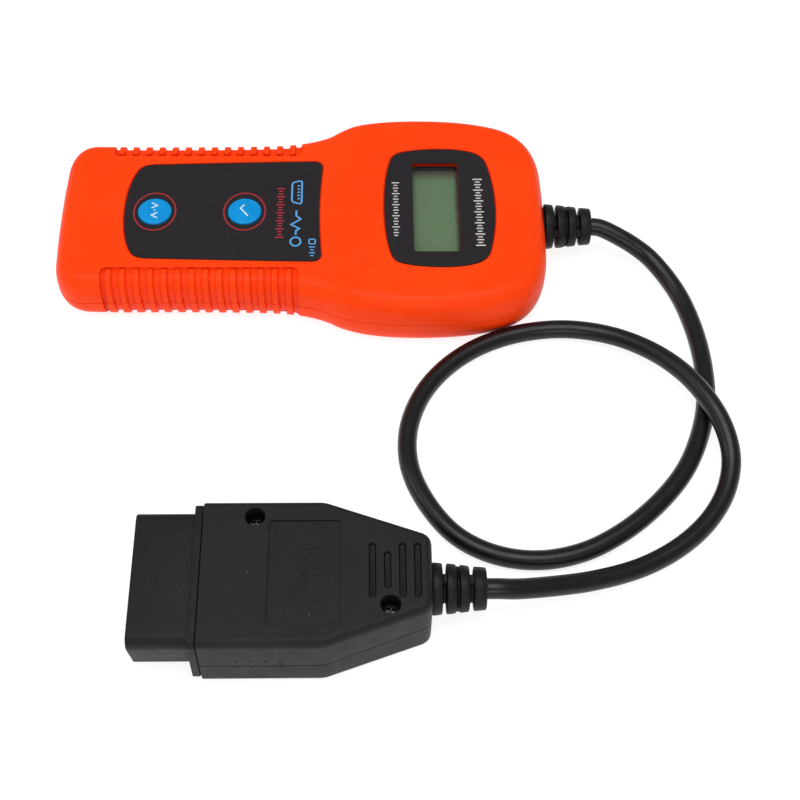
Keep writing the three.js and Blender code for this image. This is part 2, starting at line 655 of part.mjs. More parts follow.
function plugInsert() {
  const floor = COLLAR_X[0] - 0.6;
  const [rib0, rib1] = [HOOD_SPLIT - 1.1, HOOD_SPLIT + 1.1];
  const halfInside = SHROUD_HALF[0] - SHROUD_WALL + 1;
  const body = join(
    alongX(collarShape(23.4, 1.6, 23.6, 2), ...COLLAR_X),
    alongX(collarShape(21.4, 2.8, 22.2, 2), COLLAR_X[1] - 1, -18),
    cut(
      alongX(shroudShape(), PLUG_FRONT, COLLAR_X[0] + 0.5),
      alongX(shroudShape(-SHROUD_WALL), PLUG_FRONT - 1, floor),
    ),
    block([PLUG_FRONT + 0.8, PLUG_Y - halfInside, rib0], [floor + 0.4, PLUG_Y + halfInside, rib1]),
  );
  const [across, tall] = PIN_SIZE.map((size) => size / 2 + 0.2);
  const slots = PIN_PLACES.map(([y, z]) => block([-50, y - across, z - tall], [-10, y + across, z + tall]));
  return cut(body, ...slots);
}

// A flat blade pin with a narrowed tip.
function pin(y, z) {
  const half = PIN_SIZE[0] / 2;
  const shape = new THREE.Shape();
  shape.moveTo(PIN_X[1], -half);
  shape.lineTo(PIN_X[1], half);
  shape.lineTo(PIN_X[0] + 1.2, half);
  shape.lineTo(PIN_X[0], half * 0.4);
  shape.lineTo(PIN_X[0], -half * 0.4);
  shape.lineTo(PIN_X[0] + 1.2, -half);
  return plate(shape, z - PIN_SIZE[1] / 2, z + PIN_SIZE[1] / 2, 0, y);
}

// ---------- materials ----------
const LOOKS = {
  orange: [0xff4a14, 0.45, 0],
  film: [0x242126, 0.35, 0],
  blue: [0x1796d8, 0.35, 0],
  clear: [0xaebfae, 0.08, 0],
  lcd: [0x6f8a63, 0.25, 0],
  steel: [0xb9bcc0, 0.35, 1],
  brass: [0xc9a24e, 0.35, 1],
  board: [0x17643a, 0.5, 0],
  chip: [0x1b1b1d, 0.5, 0],
  white: [0xe6e4dc, 0.5, 0],
  plug: [0x262428, 0.6, 0],
  rubber: [0x1b1b1c, 0.75, 0],
};

const group = new THREE.Group();

function addPart(name, shape, look) {
  const [color, roughness, metalness] = LOOKS[look];
  const geometry = shape.isBufferGeometry ? shape : geometryOf(shape);
  const mesh = new THREE.Mesh(geometry, new THREE.MeshStandardMaterial({ color, roughness, metalness }));
  mesh.name = name;
  group.add(mesh);
}

// ---------- the reader ----------
addPart('front_shell', frontShell(), 'orange');
addPart('rear_shell', rearShell(), 'orange');
addPart('key_overlay', keyOverlay(), 'film');
addPart('display_overlay', displayOverlay(), 'film');
addPart('display_lens', displayLens(), 'clear');
['scroll', 'enter'].forEach((name, i) => {
  addPart(`${name}_button`, keyCap(KEY_X[i]), 'blue');
  addPart(`${name}_switch_plunger`, switchPlunger(KEY_X[i]), 'chip');
  addPart(`${name}_switch_base`, switchBase(KEY_X[i]), 'steel');
});
addPart('lcd_frame', lcdFrame(), 'steel');
addPart('lcd_glass', centredBlock(LCD_GLASS, 15.6, 17.7), 'lcd');
addPart('lcd_backlight', centredBlock(LCD_GLASS, 13, 15.3), 'white');
addPart('lcd_board', lcdBoard(), 'board');
addPart('lcd_header', centredBlock([2.5, 40.6], CHIP_Z, 10.8, WINDOW_X - 13), 'chip');
addPart('main_board', mainBoard(), 'board');
addPart('microcontroller', chip(-36, -12, 12, 10, 1.7, 8), 'chip');
addPart('bus_transceiver', chip(-4, 12, 9, 4, 1.6, 6), 'chip');
addPart('voltage_regulator', chip(12, -14, 6.5, 6, 2.4, 3), 'chip');
addPart('crystal', plate(roundRect(11.2, 4.6, 2.2), CHIP_Z, CHIP_Z + 3.4, -36, 12), 'steel');
addPart('filter_capacitor', capacitor(4, -14, 3.1, 6), 'steel');
addPart('cable_header', centredBlock([6, 18], CHIP_Z, 14, 66), 'white');
addPart('cable_connector', centredBlock([4, 17], 10.4, 13.6, 71.4), 'white');
const CORE_COUNT = 6;
const around = Array.from({ length: CORE_COUNT }, (_, i) => (i / CORE_COUNT) * 2 * Math.PI);
const readerEnds = around.map((a) => [74.1, 6.6 * Math.cos(a), 12 + 0.8 * Math.sin(a)]);
addPart('reader_wires', wires(readerEnds, CASE_END - BOOT_RIM[0] - 0.9, 0, SPLIT_Z), 'rubber');
CASE_SCREWS.forEach(([x, y], i) => addPart(`case_screw_${i + 1}`, screw(x, y, 3.3, 11.5, -1), 'steel'));
BOARD_SCREWS.forEach(([x, y], i) => addPart(`board_screw_${i + 1}`, screw(x, y, CHIP_Z, 6, 1), 'steel'));

// ---------- the cable ----------
addPart('reader_strain_relief', boot(CASE_END, 0, SPLIT_Z, 'level'), 'rubber');
addPart('cord', tube(CORD_ROUTE, CORD_RADIUS, CORD_SIDES, 56), 'rubber');
addPart('plug_strain_relief', boot(HOOD_END, PLUG_Y, HOOD_SPLIT, 'upright'), 'rubber');

// ---------- the vehicle plug ----------
addPart('plug_upper_shell', plugUpperShell(), 'plug');
addPart('plug_lower_shell', hoodHalf(-1), 'plug');
addPart('plug_insert', plugInsert(), 'plug');
PIN_PLACES.forEach(([y, z], i) => {
  addPart(`plug_pin_${String(i + 1).padStart(2, '0')}`, pin(y, z), 'brass');
});
const wiredPins = [5, 4, 3, 11, 12, 13].map((i) => PIN_PLACES[i]);
const plugEnds = wiredPins.map(([y, z]) => [PIN_X[1] + 0.7, y, z]);
addPart('plug_wires', wires(plugEnds, HOOD_END - BOOT_RIM[0] - 0.9, PLUG_Y, HOOD_SPLIT), 'rubber');
PLUG_SCREWS.forEach(([x, y], i) => {
  addPart(`plug_screw_${i + 1}`, screw(x, y + PLUG_Y, SCREW_SEAT + GAP, 13, 1), 'steel');
});

export default group;
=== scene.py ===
import math

import bmesh
import bpy
import numpy as np
from mathutils import Matrix, Vector


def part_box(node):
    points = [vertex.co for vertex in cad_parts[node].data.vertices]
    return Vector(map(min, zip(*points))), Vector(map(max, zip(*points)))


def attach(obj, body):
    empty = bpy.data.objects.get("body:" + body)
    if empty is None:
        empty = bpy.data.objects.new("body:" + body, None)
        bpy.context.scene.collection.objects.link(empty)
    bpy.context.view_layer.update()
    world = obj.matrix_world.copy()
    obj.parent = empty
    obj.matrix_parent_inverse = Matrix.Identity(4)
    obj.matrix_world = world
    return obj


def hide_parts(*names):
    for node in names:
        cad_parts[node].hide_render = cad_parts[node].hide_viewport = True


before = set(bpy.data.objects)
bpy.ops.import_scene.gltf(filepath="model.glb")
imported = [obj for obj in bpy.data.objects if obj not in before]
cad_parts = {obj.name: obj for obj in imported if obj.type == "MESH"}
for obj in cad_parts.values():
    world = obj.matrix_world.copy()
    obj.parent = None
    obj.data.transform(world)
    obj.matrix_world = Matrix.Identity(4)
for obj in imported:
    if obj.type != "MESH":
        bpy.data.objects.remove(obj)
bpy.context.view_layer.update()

MM = 0.001
scene = bpy.context.scene
scene.view_settings.view_transform = "Standard"


def added(name, data):
    """A new object in the scene."""
    obj = bpy.data.objects.new(name, data)
    scene.collection.objects.link(obj)
    return obj


# ---------- camera ----------
LENS = 67.51
CAMERA_AT = (0.0227, -0.3462, 0.4139)
CAMERA_DOWN = math.radians(55.9)
CAMERA_TURN = math.radians(2.04)
CAMERA_ROLL = math.radians(1.52)
CAMERA_SHIFT = 0.0018

camera = added("camera", bpy.data.cameras.new("camera"))
camera.data.lens = LENS
camera.data.shift_x = CAMERA_SHIFT
camera.data.clip_start = 0.01
ahead = Vector((
    math.cos(CAMERA_DOWN) * math.sin(CAMERA_TURN),
    math.cos(CAMERA_DOWN) * math.cos(CAMERA_TURN),
    -math.sin(CAMERA_DOWN),
))
aside = ahead.cross(Vector((0, 0, 1))).normalized()
upward = aside.cross(ahead)
right = aside * math.cos(CAMERA_ROLL) + upward * math.sin(CAMERA_ROLL)
above = upward * math.cos(CAMERA_ROLL) - aside * math.sin(CAMERA_ROLL)
pose = Matrix((right, above, -ahead)).transposed().to_4x4()
pose.translation = CAMERA_AT
camera.matrix_world = pose
scene.camera = camera


# ---------- node materials ----------
class Look:
    """A Principled material with helpers for the patterns that drive it."""

    def __init__(self, name, color, roughness, **values):
        self.material = bpy.data.materials.new(name)
        self.material.use_nodes = True
        self.tree = self.material.node_tree
        self.shader = self.tree.nodes["Principled BSDF"]
        self.set("Base Color", (*color, 1))
        self.set("Roughness", roughness)
        for key, value in values.items():
            self.set(key.replace("_", " "), value)
        self.where = self.node("TexCoord").outputs["Object"]
        self.height = None

    def set(self, socket, value):
        self.shader.inputs[socket].default_value = value

    def node(self, kind, **settings):
        made = self.tree.nodes.new("ShaderNode" + kind)
        for key, value in settings.items():
            setattr(made, key, value)
        return made

    def link(self, a, b):
        self.tree.links.new(a, b)

    def value(self, operation, *inputs):
        made = self.node("Math", operation=operation)
        for i, value in enumerate(inputs):
            if isinstance(value, (int, float)):
                made.inputs[i].default_value = value
            else:
                self.link(value, made.inputs[i])
        return made.outputs[0]

    def texture(self, kind, per_mm, stretch=(1, 1, 1)):
        """A texture node laid over the surface, with that many of its units to a millimetre."""
        mapping = self.node("Mapping")
        mapping.inputs["Scale"].default_value = [per_mm * 1000 * s for s in stretch]
        self.link(self.where, mapping.inputs["Vector"])
        made = self.node(kind)
        made.inputs["Scale"].default_value = 1
        self.link(mapping.outputs[0], made.inputs["Vector"])
        return made

    def noise(self, per_mm, detail=2.0, stretch=(1, 1, 1)):
        made = self.texture("TexNoise", per_mm, stretch)
        made.inputs["Detail"].default_value = detail
        return made.outputs["Fac"]

    def spots(self, per_mm, size):
        """1 in small scattered specks, 0 elsewhere."""
        made = self.texture("TexVoronoi", per_mm)
        return self.value("LESS_THAN", made.outputs["Distance"], size)

    def ramp(self, factor, low, high, start=0.0, end=1.0):
        """Runs from low to high, two numbers, as factor goes from start to end."""
        made = self.node("MapRange", clamp=True)
        self.link(factor, made.inputs["Value"])
        for socket, value in zip(("From Min", "From Max", "To Min", "To Max"), (start, end, low, high)):
            made.inputs[socket].default_value = value
        return made.outputs[0]

    def patches(self, per_mm, detail):
        """Soft patches of 0 and 1."""
        return self.ramp(self.noise(per_mm, detail), 0, 1, 0.35, 0.65)

    def blend(self, factor, first, second):
        """Mixes two colours, each of them numbers or an earlier output."""
        made = self.node("Mix", data_type="RGBA")
        self.link(factor, made.inputs["Factor"])
        for socket, color in ((6, first), (7, second)):
            if isinstance(color, tuple):
                made.inputs[socket].default_value = (*color, 1)
            else:
                self.link(color, made.inputs[socket])
        return made.outputs[2]

    def color(self, output):
        self.link(output, self.shader.inputs["Base Color"])

    def base(self):
        """What drives the colour so far."""
        return self.shader.inputs["Base Color"].links[0].from_socket

    def rough(self, pattern, low, high):
        """Uneven gloss: roughness runs from low to high with the pattern."""
        self.link(self.ramp(pattern, low, high, 0.3, 0.7), self.shader.inputs["Roughness"])

    def bump(self, height, depth_mm):
        """Adds relief of that depth; calls stack."""
        made = self.node("Bump")
        made.inputs["Distance"].default_value = depth_mm * MM
        self.link(height, made.inputs["Height"])
        if self.height:
            self.link(self.height, made.inputs["Normal"])
        self.height = made.outputs["Normal"]
        self.link(self.height, self.shader.inputs["Normal"])


def moulded(name, color, other, roughness, grain_per_mm, grain_mm, patch=0.05, **values):
    """Injection-moulded plastic: two close tones in soft patches, fine grain and uneven gloss."""
    look = Look(name, color, roughness, **values)
    look.color(look.blend(look.patches(patch, 3), color, other))
    look.rough(look.noise(patch * 3, 4), roughness - 0.05, roughness + 0.05)
    look.bump(look.noise(grain_per_mm, 3), grain_mm)
    return look


def case_orange():
    """Orange plastic with painted shade: it goes a darker red in its grooves, its recesses and wherever other
    parts come near.
    """
    look = moulded("case_orange", (0.98, 0.049, 0.001), (1.0, 0.056, 0.002), 0.42, 5, 0.006, 0.03)
    look.set("Specular IOR Level", 0.1)
    look.set("Subsurface Weight", 0.08)
    look.set("Subsurface Radius", (0.0016, 0.0004, 0.0001))
    look.bump(look.noise(0.12, 1), 0.05)
    # Painted shade: ambient occlusion blends the orange towards deep red in grooves, at recess walls and
    # close to other parts.
    nearby = look.node("AmbientOcclusion", samples=8)
    nearby.inputs["Distance"].default_value = 1.6 * MM
    shade = look.ramp(nearby.outputs["AO"], 0.9, 0, 0.4, 0.92)
    look.color(look.blend(shade, look.base(), (0.62, 0.012, 0.0)))
    return look.material


def label_film():
    look = Look("label_film", (0.012, 0.01, 0.012), 0.36, Specular_IOR_Level=0.25)
    base = look.blend(look.patches(0.06, 2), (0.012, 0.0098, 0.0118), (0.0155, 0.0122, 0.0148))
    look.color(look.blend(look.spots(0.35, 0.035), base, (0.16, 0.15, 0.16)))
    look.rough(look.noise(0.5, 4), 0.32, 0.42)
    look.bump(look.noise(7, 2), 0.003)
    return look.material


def printed(name, color, roughness=0.4):
    """Printing ink."""
    look = Look(name, color, roughness)
    look.rough(look.noise(2, 3), roughness - 0.06, roughness + 0.06)
    look.color(look.blend(look.noise(3, 2), color, tuple(0.9 * c for c in color)))
    return look.material


def key_blue():
    look = Look("key_blue", (0.001, 0.27, 0.66), 0.33, Specular_IOR_Level=0.16)
    look.color(look.blend(look.patches(0.2, 2), (0.001, 0.255, 0.62), (0.002, 0.285, 0.68)))
    look.rough(look.noise(1.5, 3), 0.28, 0.38)
    look.bump(look.noise(5, 2), 0.004)
    return look.material


def window_clear():
    """Clear plastic: see-through from straight ahead, glossier at a slant."""
    look = Look("window_clear", (0.01, 0.01, 0.01), 0.06)
    clear = look.node("BsdfTransparent")
    clear.inputs["Color"].default_value = (0.93, 0.95, 0.93, 1)
    mix = look.node("MixShader")
    facing = look.node("LayerWeight").outputs["Facing"]
    look.link(look.value("MULTIPLY_ADD", look.value("POWER", facing, 4), 0.8, 0.04), mix.inputs[0])
    look.rough(look.noise(0.8, 3), 0.04, 0.1)
    look.link(clear.outputs[0], mix.inputs[1])
    look.link(look.shader.outputs[0], mix.inputs[2])
    look.link(mix.outputs[0], look.tree.nodes["Material Output"].inputs["Surface"])
    return look.material


def lcd_green(center, half):
    """Grey-green liquid crystal panel, with painted shadow: darker bands at its far edge and at its edge
    nearest the cable stand for the shade cast by the window's walls.
    """
    look = Look("lcd_green", (0.13, 0.2, 0.115), 0.3, Specular_IOR_Level=0.3)
    axes = look.node("SeparateXYZ")
    look.link(look.where, axes.inputs[0])
    x, y = axes.outputs["X"], axes.outputs["Y"]
    side, far = center[0] + half[0], center[1] + half[1]
    along = look.ramp(y, 0, 1, center[1] - half[1], far)
    body = look.blend(along, (0.2, 0.285, 0.172), (0.185, 0.27, 0.162))
    body = look.blend(look.noise(0.08, 2), body, (0.195, 0.285, 0.17))
    # Painted shadow of the window's far wall and of its wall nearest the cable, laid on the glass as soft
    # dark bands.
    painted_wall_shadow = (0.12, 0.1, 0.098)
    body = look.blend(look.ramp(y, 0, 1, far - 5 * MM, far - 0.3 * MM), body, painted_wall_shadow)
    look.color(look.blend(look.ramp(x, 0, 1, side - 1.3 * MM, side + 0.1 * MM), body, painted_wall_shadow))
    look.rough(look.noise(0.4, 3), 0.25, 0.36)
    look.bump(look.noise(4, 2), 0.004)
    return look.material


def plug_black():
    """Spark-eroded black plastic with darker grain and a few pale specks."""
    look = moulded("plug_black", (0.0088, 0.0082, 0.0106), (0.0118, 0.0106, 0.0135), 0.5, 2.2, 0.08, 0.06)
    look.set("Specular IOR Level", 0.2)
    grain = look.ramp(look.noise(2.6, 1), 0, 0.8, 0.42, 0.62)
    grained = look.blend(grain, look.base(), (0.0045, 0.0042, 0.006))
    look.color(look.blend(look.spots(0.16, 0.035), grained, (0.09, 0.09, 0.095)))
    return look.material


def cord_black(name, color=(0.0036, 0.0032, 0.0036), roughness=0.32, level=0.32):
    look = moulded(name, color, tuple(1.4 * c for c in color), roughness, 3.2, 0.012, 0.08)
    look.set("Specular IOR Level", level)
    return look.material


def metal(name, color, roughness, brushed=(1, 1, 1), per_mm=4):
    look = Look(name, color, roughness, Metallic=1.0)
    streaks = look.noise(per_mm, 3, brushed)
    look.color(look.blend(streaks, color, tuple(0.72 * c for c in color)))
    look.rough(streaks, roughness - 0.1, roughness + 0.12)
    look.bump(streaks, 0.008)
    return look.material


def circuit_board():
    """Green solder mask with copper tracks under it, as straight lanes that step sideways."""
    look = Look("circuit_board", (0.012, 0.12, 0.04), 0.32)
    brick = look.texture("TexBrick", 0.09)
    brick.inputs["Mortar Size"].default_value = 0.035
    brick.inputs["Scale"].default_value = 6
    tracks = look.value("SUBTRACT", 1.0, brick.outputs["Fac"])
    look.color(look.blend(tracks, (0.02, 0.2, 0.07), (0.009, 0.1, 0.034)))
    look.rough(look.noise(0.6, 3), 0.26, 0.4)
    look.bump(brick.outputs["Fac"], 0.03)
    return look.material


def chip_black():
    look = Look("chip_black", (0.018, 0.018, 0.02), 0.5)
    look.color(look.blend(look.noise(2, 3), (0.015, 0.015, 0.017), (0.026, 0.026, 0.028)))
    look.rough(look.noise(3, 3), 0.42, 0.6)
    look.bump(look.noise(12, 2), 0.006)
    return look.material


# ---------- mesh helpers ----------
def place(name, mesh, material, body="reader", angle=32):
    """Puts a finished mesh in the scene on its body, shaded smooth but for its sharp edges."""
    for polygon in mesh.polygons:
        polygon.use_smooth = True
    mesh.set_sharp_from_angle(angle=math.radians(angle))
    mesh.materials.append(material)
    obj = added(name, mesh)
    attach(obj, body)
    return obj


def mesh_of(points, faces):
    """A mesh from points in millimetres."""
    mesh = bpy.data.meshes.new("mesh")
    mesh.from_pydata((np.asarray(points, float) * MM).tolist(), [], faces)
    mesh.validate()
    mesh.update()
    return mesh


def grid_faces(rows, around, start=0, flip=False):
    """Quads between rings of points that follow one another; start is the first ring's first point."""
    faces = []
    for k in range(rows - 1):
        for i in range(around):
            j = (i + 1) % around
            a, b = start + k * around + i, start + k * around + j
            c, d = b + around, a + around
            faces.append((a, d, c, b) if flip else (a, b, c, d))
    return faces


def smoothstep(low, high, value):
    """0 below low, 1 above high and a smooth rise between."""
    t = np.clip((value - low) / (high - low), 0, 1)
    return t * t * (3 - 2 * t)


def bezier(points, steps):
    """Points on a quadratic or cubic Bezier curve, without its first."""
    p = [np.array(q, float) for q in points]
    t = np.linspace(0, 1, steps + 1)[1:, None]
    if len(p) == 3:
        return (1 - t) ** 2 * p[0] + 2 * t * (1 - t) * p[1] + t * t * p[2]
    return (1 - t) ** 3 * p[0] + 3 * t * (1 - t) ** 2 * p[1] + 3 * t * t * (1 - t) * p[2] + t ** 3 * p[3]


def path(start, *curves, steps):
    """Points from start along curves; each curve leaves out its first point, and one point is a straight."""
    line, at = [np.array([start], float)], start
    for curve in curves:
        line.append(np.array([curve[0]], float) if len(curve) == 1 else bezier([at, *curve], steps))
        at = curve[-1]
    return np.vstack(line)


def level(flat, z):
    """Points of the plane, lifted to a height."""
    return np.column_stack((flat, np.full(len(flat), z)))


def tube(rings, flip=False):
    """Solid through rings of points that follow one another, with flat ends."""
    count = len(rings[0])
    last = (len(rings) - 1) * count
    ends = [tuple(range(count - 1, -1, -1)), tuple(range(last, last + count))]
    faces = grid_faces(len(rings), count, flip=flip) + [end[::-1] if flip else end for end in ends]
    return mesh_of(np.vstack(rings), faces)


def normals_2d(line):
    """Unit normals to the left of a closed outline's direction."""
    along = np.roll(line, -1, 0) - np.roll(line, 1, 0)
    along /= np.linalg.norm(along, axis=1, keepdims=True)
    return np.column_stack((-along[:, 1], along[:, 0]))


def round_rect(width, depth, radius, x=0, y=0, steps=6):
    """Outline, counter-clockwise."""
    out = []
    for cx, cy, a in ((1, -1, -90), (1, 1, 0), (-1, 1, 90), (-1, -1, 180)):
        for k in range(steps + 1):
            angle = math.radians(a + 90 * k / steps)
            out.append((x + cx * (width / 2 - radius) + radius * math.cos(angle),
                        y + cy * (depth / 2 - radius) + radius * math.sin(angle)))
    return np.array(out)


def circle(radius, x=0, y=0, sides=48):
    """Outline, counter-clockwise."""
    a = np.arange(sides) * 2 * math.pi / sides
    return np.column_stack((x + radius * np.cos(a), y + radius * np.sin(a)))


def stack(outline, levels):
    """Closed solid from a counter-clockwise outline: levels are (grow, z) from bottom to top."""
    out = -normals_2d(outline)
    return tube([level(outline + out * grow, z) for grow, z in levels])


def straight(outline, low, high):
    """Plain prism on an outline."""
    return stack(outline, [(0, low), (0, high)])


def turned(profile, sides=48, at=(0, 0, 0), axis="z"):
    """Solid of revolution with flat ends: profile is (radius, height) from bottom to top."""
    unit = circle(1, sides=sides)
    order = [2, 0, 1] if axis == "x" else [0, 1, 2]
    rings = [level(radius * unit, height) for radius, height in profile]
    return tube([ring[:, order] + at for ring in rings])


def combined(mesh, tools, operation="DIFFERENCE"):
    """The mesh after each tool mesh is cut from it or joined to it."""
    target = added("tool", mesh)
    helpers = [added("tool", tool) for tool in tools]
    for helper in helpers:
        modifier = target.modifiers.new("combine", "BOOLEAN")
        modifier.object = helper
        modifier.operation = operation
        modifier.solver = "EXACT"
    bpy.context.view_layer.update()
    graph = bpy.context.evaluated_depsgraph_get()
    made = bpy.data.meshes.new_from_object(target.evaluated_get(graph))
    for obj in [target, *helpers]:
        bpy.data.objects.remove(obj)
    made.materials.clear()
    return made


def joined(meshes):
    """Several meshes as one, without cutting."""
    work = bmesh.new()
    for mesh in meshes:
        work.from_mesh(mesh)
    made = bpy.data.meshes.new("joined")
    work.to_mesh(made)
    work.free()
    return made


def outward(mesh):
    """Turns every face of a closed mesh outward."""
    work = bmesh.new()
    work.from_mesh(mesh)
    bmesh.ops.recalc_face_normals(work, faces=work.faces)
    work.to_mesh(mesh)
    work.free()
    return mesh


def miters(line, closed):
    """Normals to the left of a line, longer at its corners so that an offset along them keeps its width."""
    if closed:
        before, after = line - np.roll(line, 1, 0), np.roll(line, -1, 0) - line
    else:
        steps = np.diff(line, axis=0)
        before, after = np.vstack((steps[:1], steps)), np.vstack((steps, steps[-1:]))
    before = before / np.linalg.norm(before, axis=1, keepdims=True)
    after = after / np.linalg.norm(after, axis=1, keepdims=True)
    miter = np.column_stack((-(before + after)[:, 1], (before + after)[:, 0]))
    miter /= np.linalg.norm(miter, axis=1, keepdims=True)
    stretch = 1 / np.maximum(0.4, (miter * np.column_stack((-before[:, 1], before[:, 0]))).sum(1))
    return miter * stretch[:, None]


def band(line, width, z0, z1, closed=True):
    """A flat stroke of the given width along a line of (x, y) points, from z0 to z1."""
    line = np.array(line, float)
    side = miters(line, closed) * width / 2
    corners = [(1, z0), (-1, z0), (-1, z1), (1, z1)]
    points = np.stack([level(line + s * side, z) for s, z in corners], 1)
    count = len(line)
    faces = []
    for i in range(count if closed else count - 1):
        a, b = 4 * i, 4 * ((i + 1) % count)
        faces += [(a + k, a + (k + 1) % 4, b + (k + 1) % 4, b + k) for k in range(4)]
    if not closed:
        last = 4 * (count - 1)
        faces += [(0, 1, 2, 3), (last + 3, last + 2, last + 1, last)]
    return outward(mesh_of(points.reshape(-1, 3), faces))


# ---------- cord ----------
CORD_RADIUS = 3.15
CORD_STEPS = 8
CORD_ROUTE = [
    (101.1, 0, 11), (104.4, -0.6, 11), (111.5, -3.7, 9.4), (117.2, -6.6, 7.4), (122.2, -10.4, 5.5),
    (129.5, -22, 3.6), (133.4, -35, 3.2), (135.4, -52, 3.2), (134.6, -68.5, 3.2), (131, -82, 3.2),
    (124.6, -95.5, 3.2), (115, -107.5, 3.2), (102.5, -118.2, 3.2), (89.2, -125.4, 3.2), (75.4, -128.2, 3.2),
    (61.8, -126.2, 3.2), (50, -119.5, 3.2), (41, -107.7, 3.2), (35.8, -94, 3.2), (35.6, -80.5, 3.2),
    (39.8, -67.5, 3.2), (47.4, -56.6, 3.2), (58.4, -47.6, 3.2), (72.2, -41.6, 3.2), (88.6, -39.4, 3.4),
    (104, -42.8, 4.8), (116.8, -50.8, 7.2), (126.8, -61.5, 9.2), (133.6, -73, 9.8), (137.8, -83.4, 8.4),
    (139.1, -93.2, 6), (136.6, -103.4, 4.2), (130.2, -113.8, 3.4), (120.2, -123.2, 3.2), (107, -130.9, 3.6),
    (91.4, -136.5, 5.6), (77.4, -140.1, 8.8), (66.5, -142.2, 11.4), (61.2, -142.6, 12.5),
    (57.9, -142.6, 12.5),
]


def spline(points, steps):
    """Centripetal Catmull-Rom curve through the points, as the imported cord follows."""
    p = [np.array(q, float) for q in points]
    p = [2 * p[0] - p[1], *p, 2 * p[-1] - p[-2]]
    out = []
    for k in range(1, len(p) - 2):
        knots = [0.0]
        for a, b in zip(p[k - 1:k + 2], p[k:k + 3]):
            knots.append(knots[-1] + np.linalg.norm(b - a) ** 0.5)
        t0, t1, t2, t3 = knots
        for t in np.linspace(t1, t2, steps, endpoint=False):
            a1 = (t1 - t) / (t1 - t0) * p[k - 1] + (t - t0) / (t1 - t0) * p[k]
            a2 = (t2 - t) / (t2 - t1) * p[k] + (t - t1) / (t2 - t1) * p[k + 1]
            a3 = (t3 - t) / (t3 - t2) * p[k + 1] + (t - t2) / (t3 - t2) * p[k + 2]
            b1 = (t2 - t) / (t2 - t0) * a1 + (t - t0) / (t2 - t0) * a2
            b2 = (t3 - t) / (t3 - t1) * a2 + (t - t1) / (t3 - t1) * a3
            out.append((t2 - t) / (t2 - t1) * b1 + (t - t1) / (t2 - t1) * b2)
    return np.array([*out, p[-2]])


line = spline(CORD_ROUTE, CORD_STEPS)
curve = bpy.data.curves.new("cable", "CURVE")
curve.dimensions = "3D"
curve.bevel_depth = CORD_RADIUS * MM
curve.bevel_resolution = 8
curve.use_fill_caps = True
run = curve.splines.new("POLY")
run.points.add(len(line) - 1)
for point, at in zip(run.points, line):
    point.co = (*(at * MM), 1)
curve.materials.append(cord_black("cord_jacket"))
cable = added("cable", curve)
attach(cable, "reader")
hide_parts("cord")


# ---------- ribbed strain reliefs ----------
BOOT_RINGS = [(0, 2.9, 7.9), (4.1, 7, 7.55), (8, 10.9, 7.1), (12.2, 16, 6.6)]
RING_TAPER = 0.25
RING_ROUND = 0.35
BOOT_FLOORS = [4.2, 5.7, 4.2]
FLOOR_ROUND = 0.35
WEB_HEIGHTS = [7.45, 7, 6.5]
WEB_HALF = 1.5
BOOT_MOUTH = [(0, 4.4), (-0.25, 3.9)]
BOOT_NECK = [(5.9, -6.4), (5.9, -4.3), (4.4, -4.3), (4.4, 0.4)]
BOOT_GAP = 0.3
BOOT_SIDES = 160


def boot_mesh(face, y, z, web_turn):
    """Rings on a thin sleeve, bridged by two webs in each gap; web_turn turns the first gap's webs."""
    angles = np.arange(BOOT_SIDES) * 2 * math.pi / BOOT_SIDES
    rows = []

    def ring(x, radius):
        rows.append((x, np.full(BOOT_SIDES, float(radius))))

    def floor(x, base, web, height):
        across, along = np.abs(np.sin(angles - web)), np.abs(np.cos(angles - web))
        top = height / np.maximum(along, 0.3)
        half = math.sin(np.arctan2(WEB_HALF, height))
        share = 1 - smoothstep(half * 0.75, half * 1.35, across)
        rows.append((x, base + (np.maximum(top, base) - base) * share))

    for k, (start, end, radius) in enumerate(BOOT_RINGS):
        low = radius - RING_TAPER
        if k == 0:
            ring(start, radius - 0.1)
        else:
            ring(start + 0.02, radius - 0.45)
            ring(start + 0.12, radius - 0.15)
        ring(start + RING_ROUND, radius)
        ring((start + end) / 2, (radius + low) / 2 + 0.03)
        ring(end - RING_ROUND, low)
        ring(end - 0.1, low - 0.14)
        ring(end, low - 0.45)
        if k < len(BOOT_FLOORS):
            gap_end, base = BOOT_RINGS[k + 1][0], BOOT_FLOORS[k]
            web = web_turn + (math.pi / 2 if k == 1 else 0)
            stops = [
                (end + 0.25, FLOOR_ROUND), (end + 0.45, 0),
                (gap_end - 0.3, 0), (gap_end - 0.1, FLOOR_ROUND)]
            for x, rise in stops:
                floor(x, base + rise, web, WEB_HEIGHTS[k])
        else:
            for x, radius_in in BOOT_MOUTH:
                ring(end + x, radius_in)
    rings = []
    for x, radius in rows:
        length = np.full(BOOT_SIDES, face + BOOT_GAP + x)
        rings.append(np.column_stack((length, y + radius * np.sin(angles), z + radius * np.cos(angles))))
    body = tube(rings, flip=True)
    neck = turned([(radius, face + x) for radius, x in BOOT_NECK], 48, (0, y, z), "x")
    return joined([body, neck])


boot_black = cord_black("boot_rubber", (0.004, 0.0036, 0.004), 0.5, 0.22)
CASE_END = 84.3
SPLIT_Z = 11
PLUG_Y = -142.6
HOOD_END = 41.2
HOOD_SPLIT = 12.5
READER_WEB_TURN = math.radians(-61)
reader_boot = place(
    "reader_boot", boot_mesh(CASE_END, 0, SPLIT_Z, READER_WEB_TURN), boot_black, angle=40)
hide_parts("reader_strain_relief")
plug_boot = place(
    "plug_boot", boot_mesh(HOOD_END, PLUG_Y, HOOD_SPLIT, 0), boot_black, angle=40)
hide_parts("plug_strain_relief")


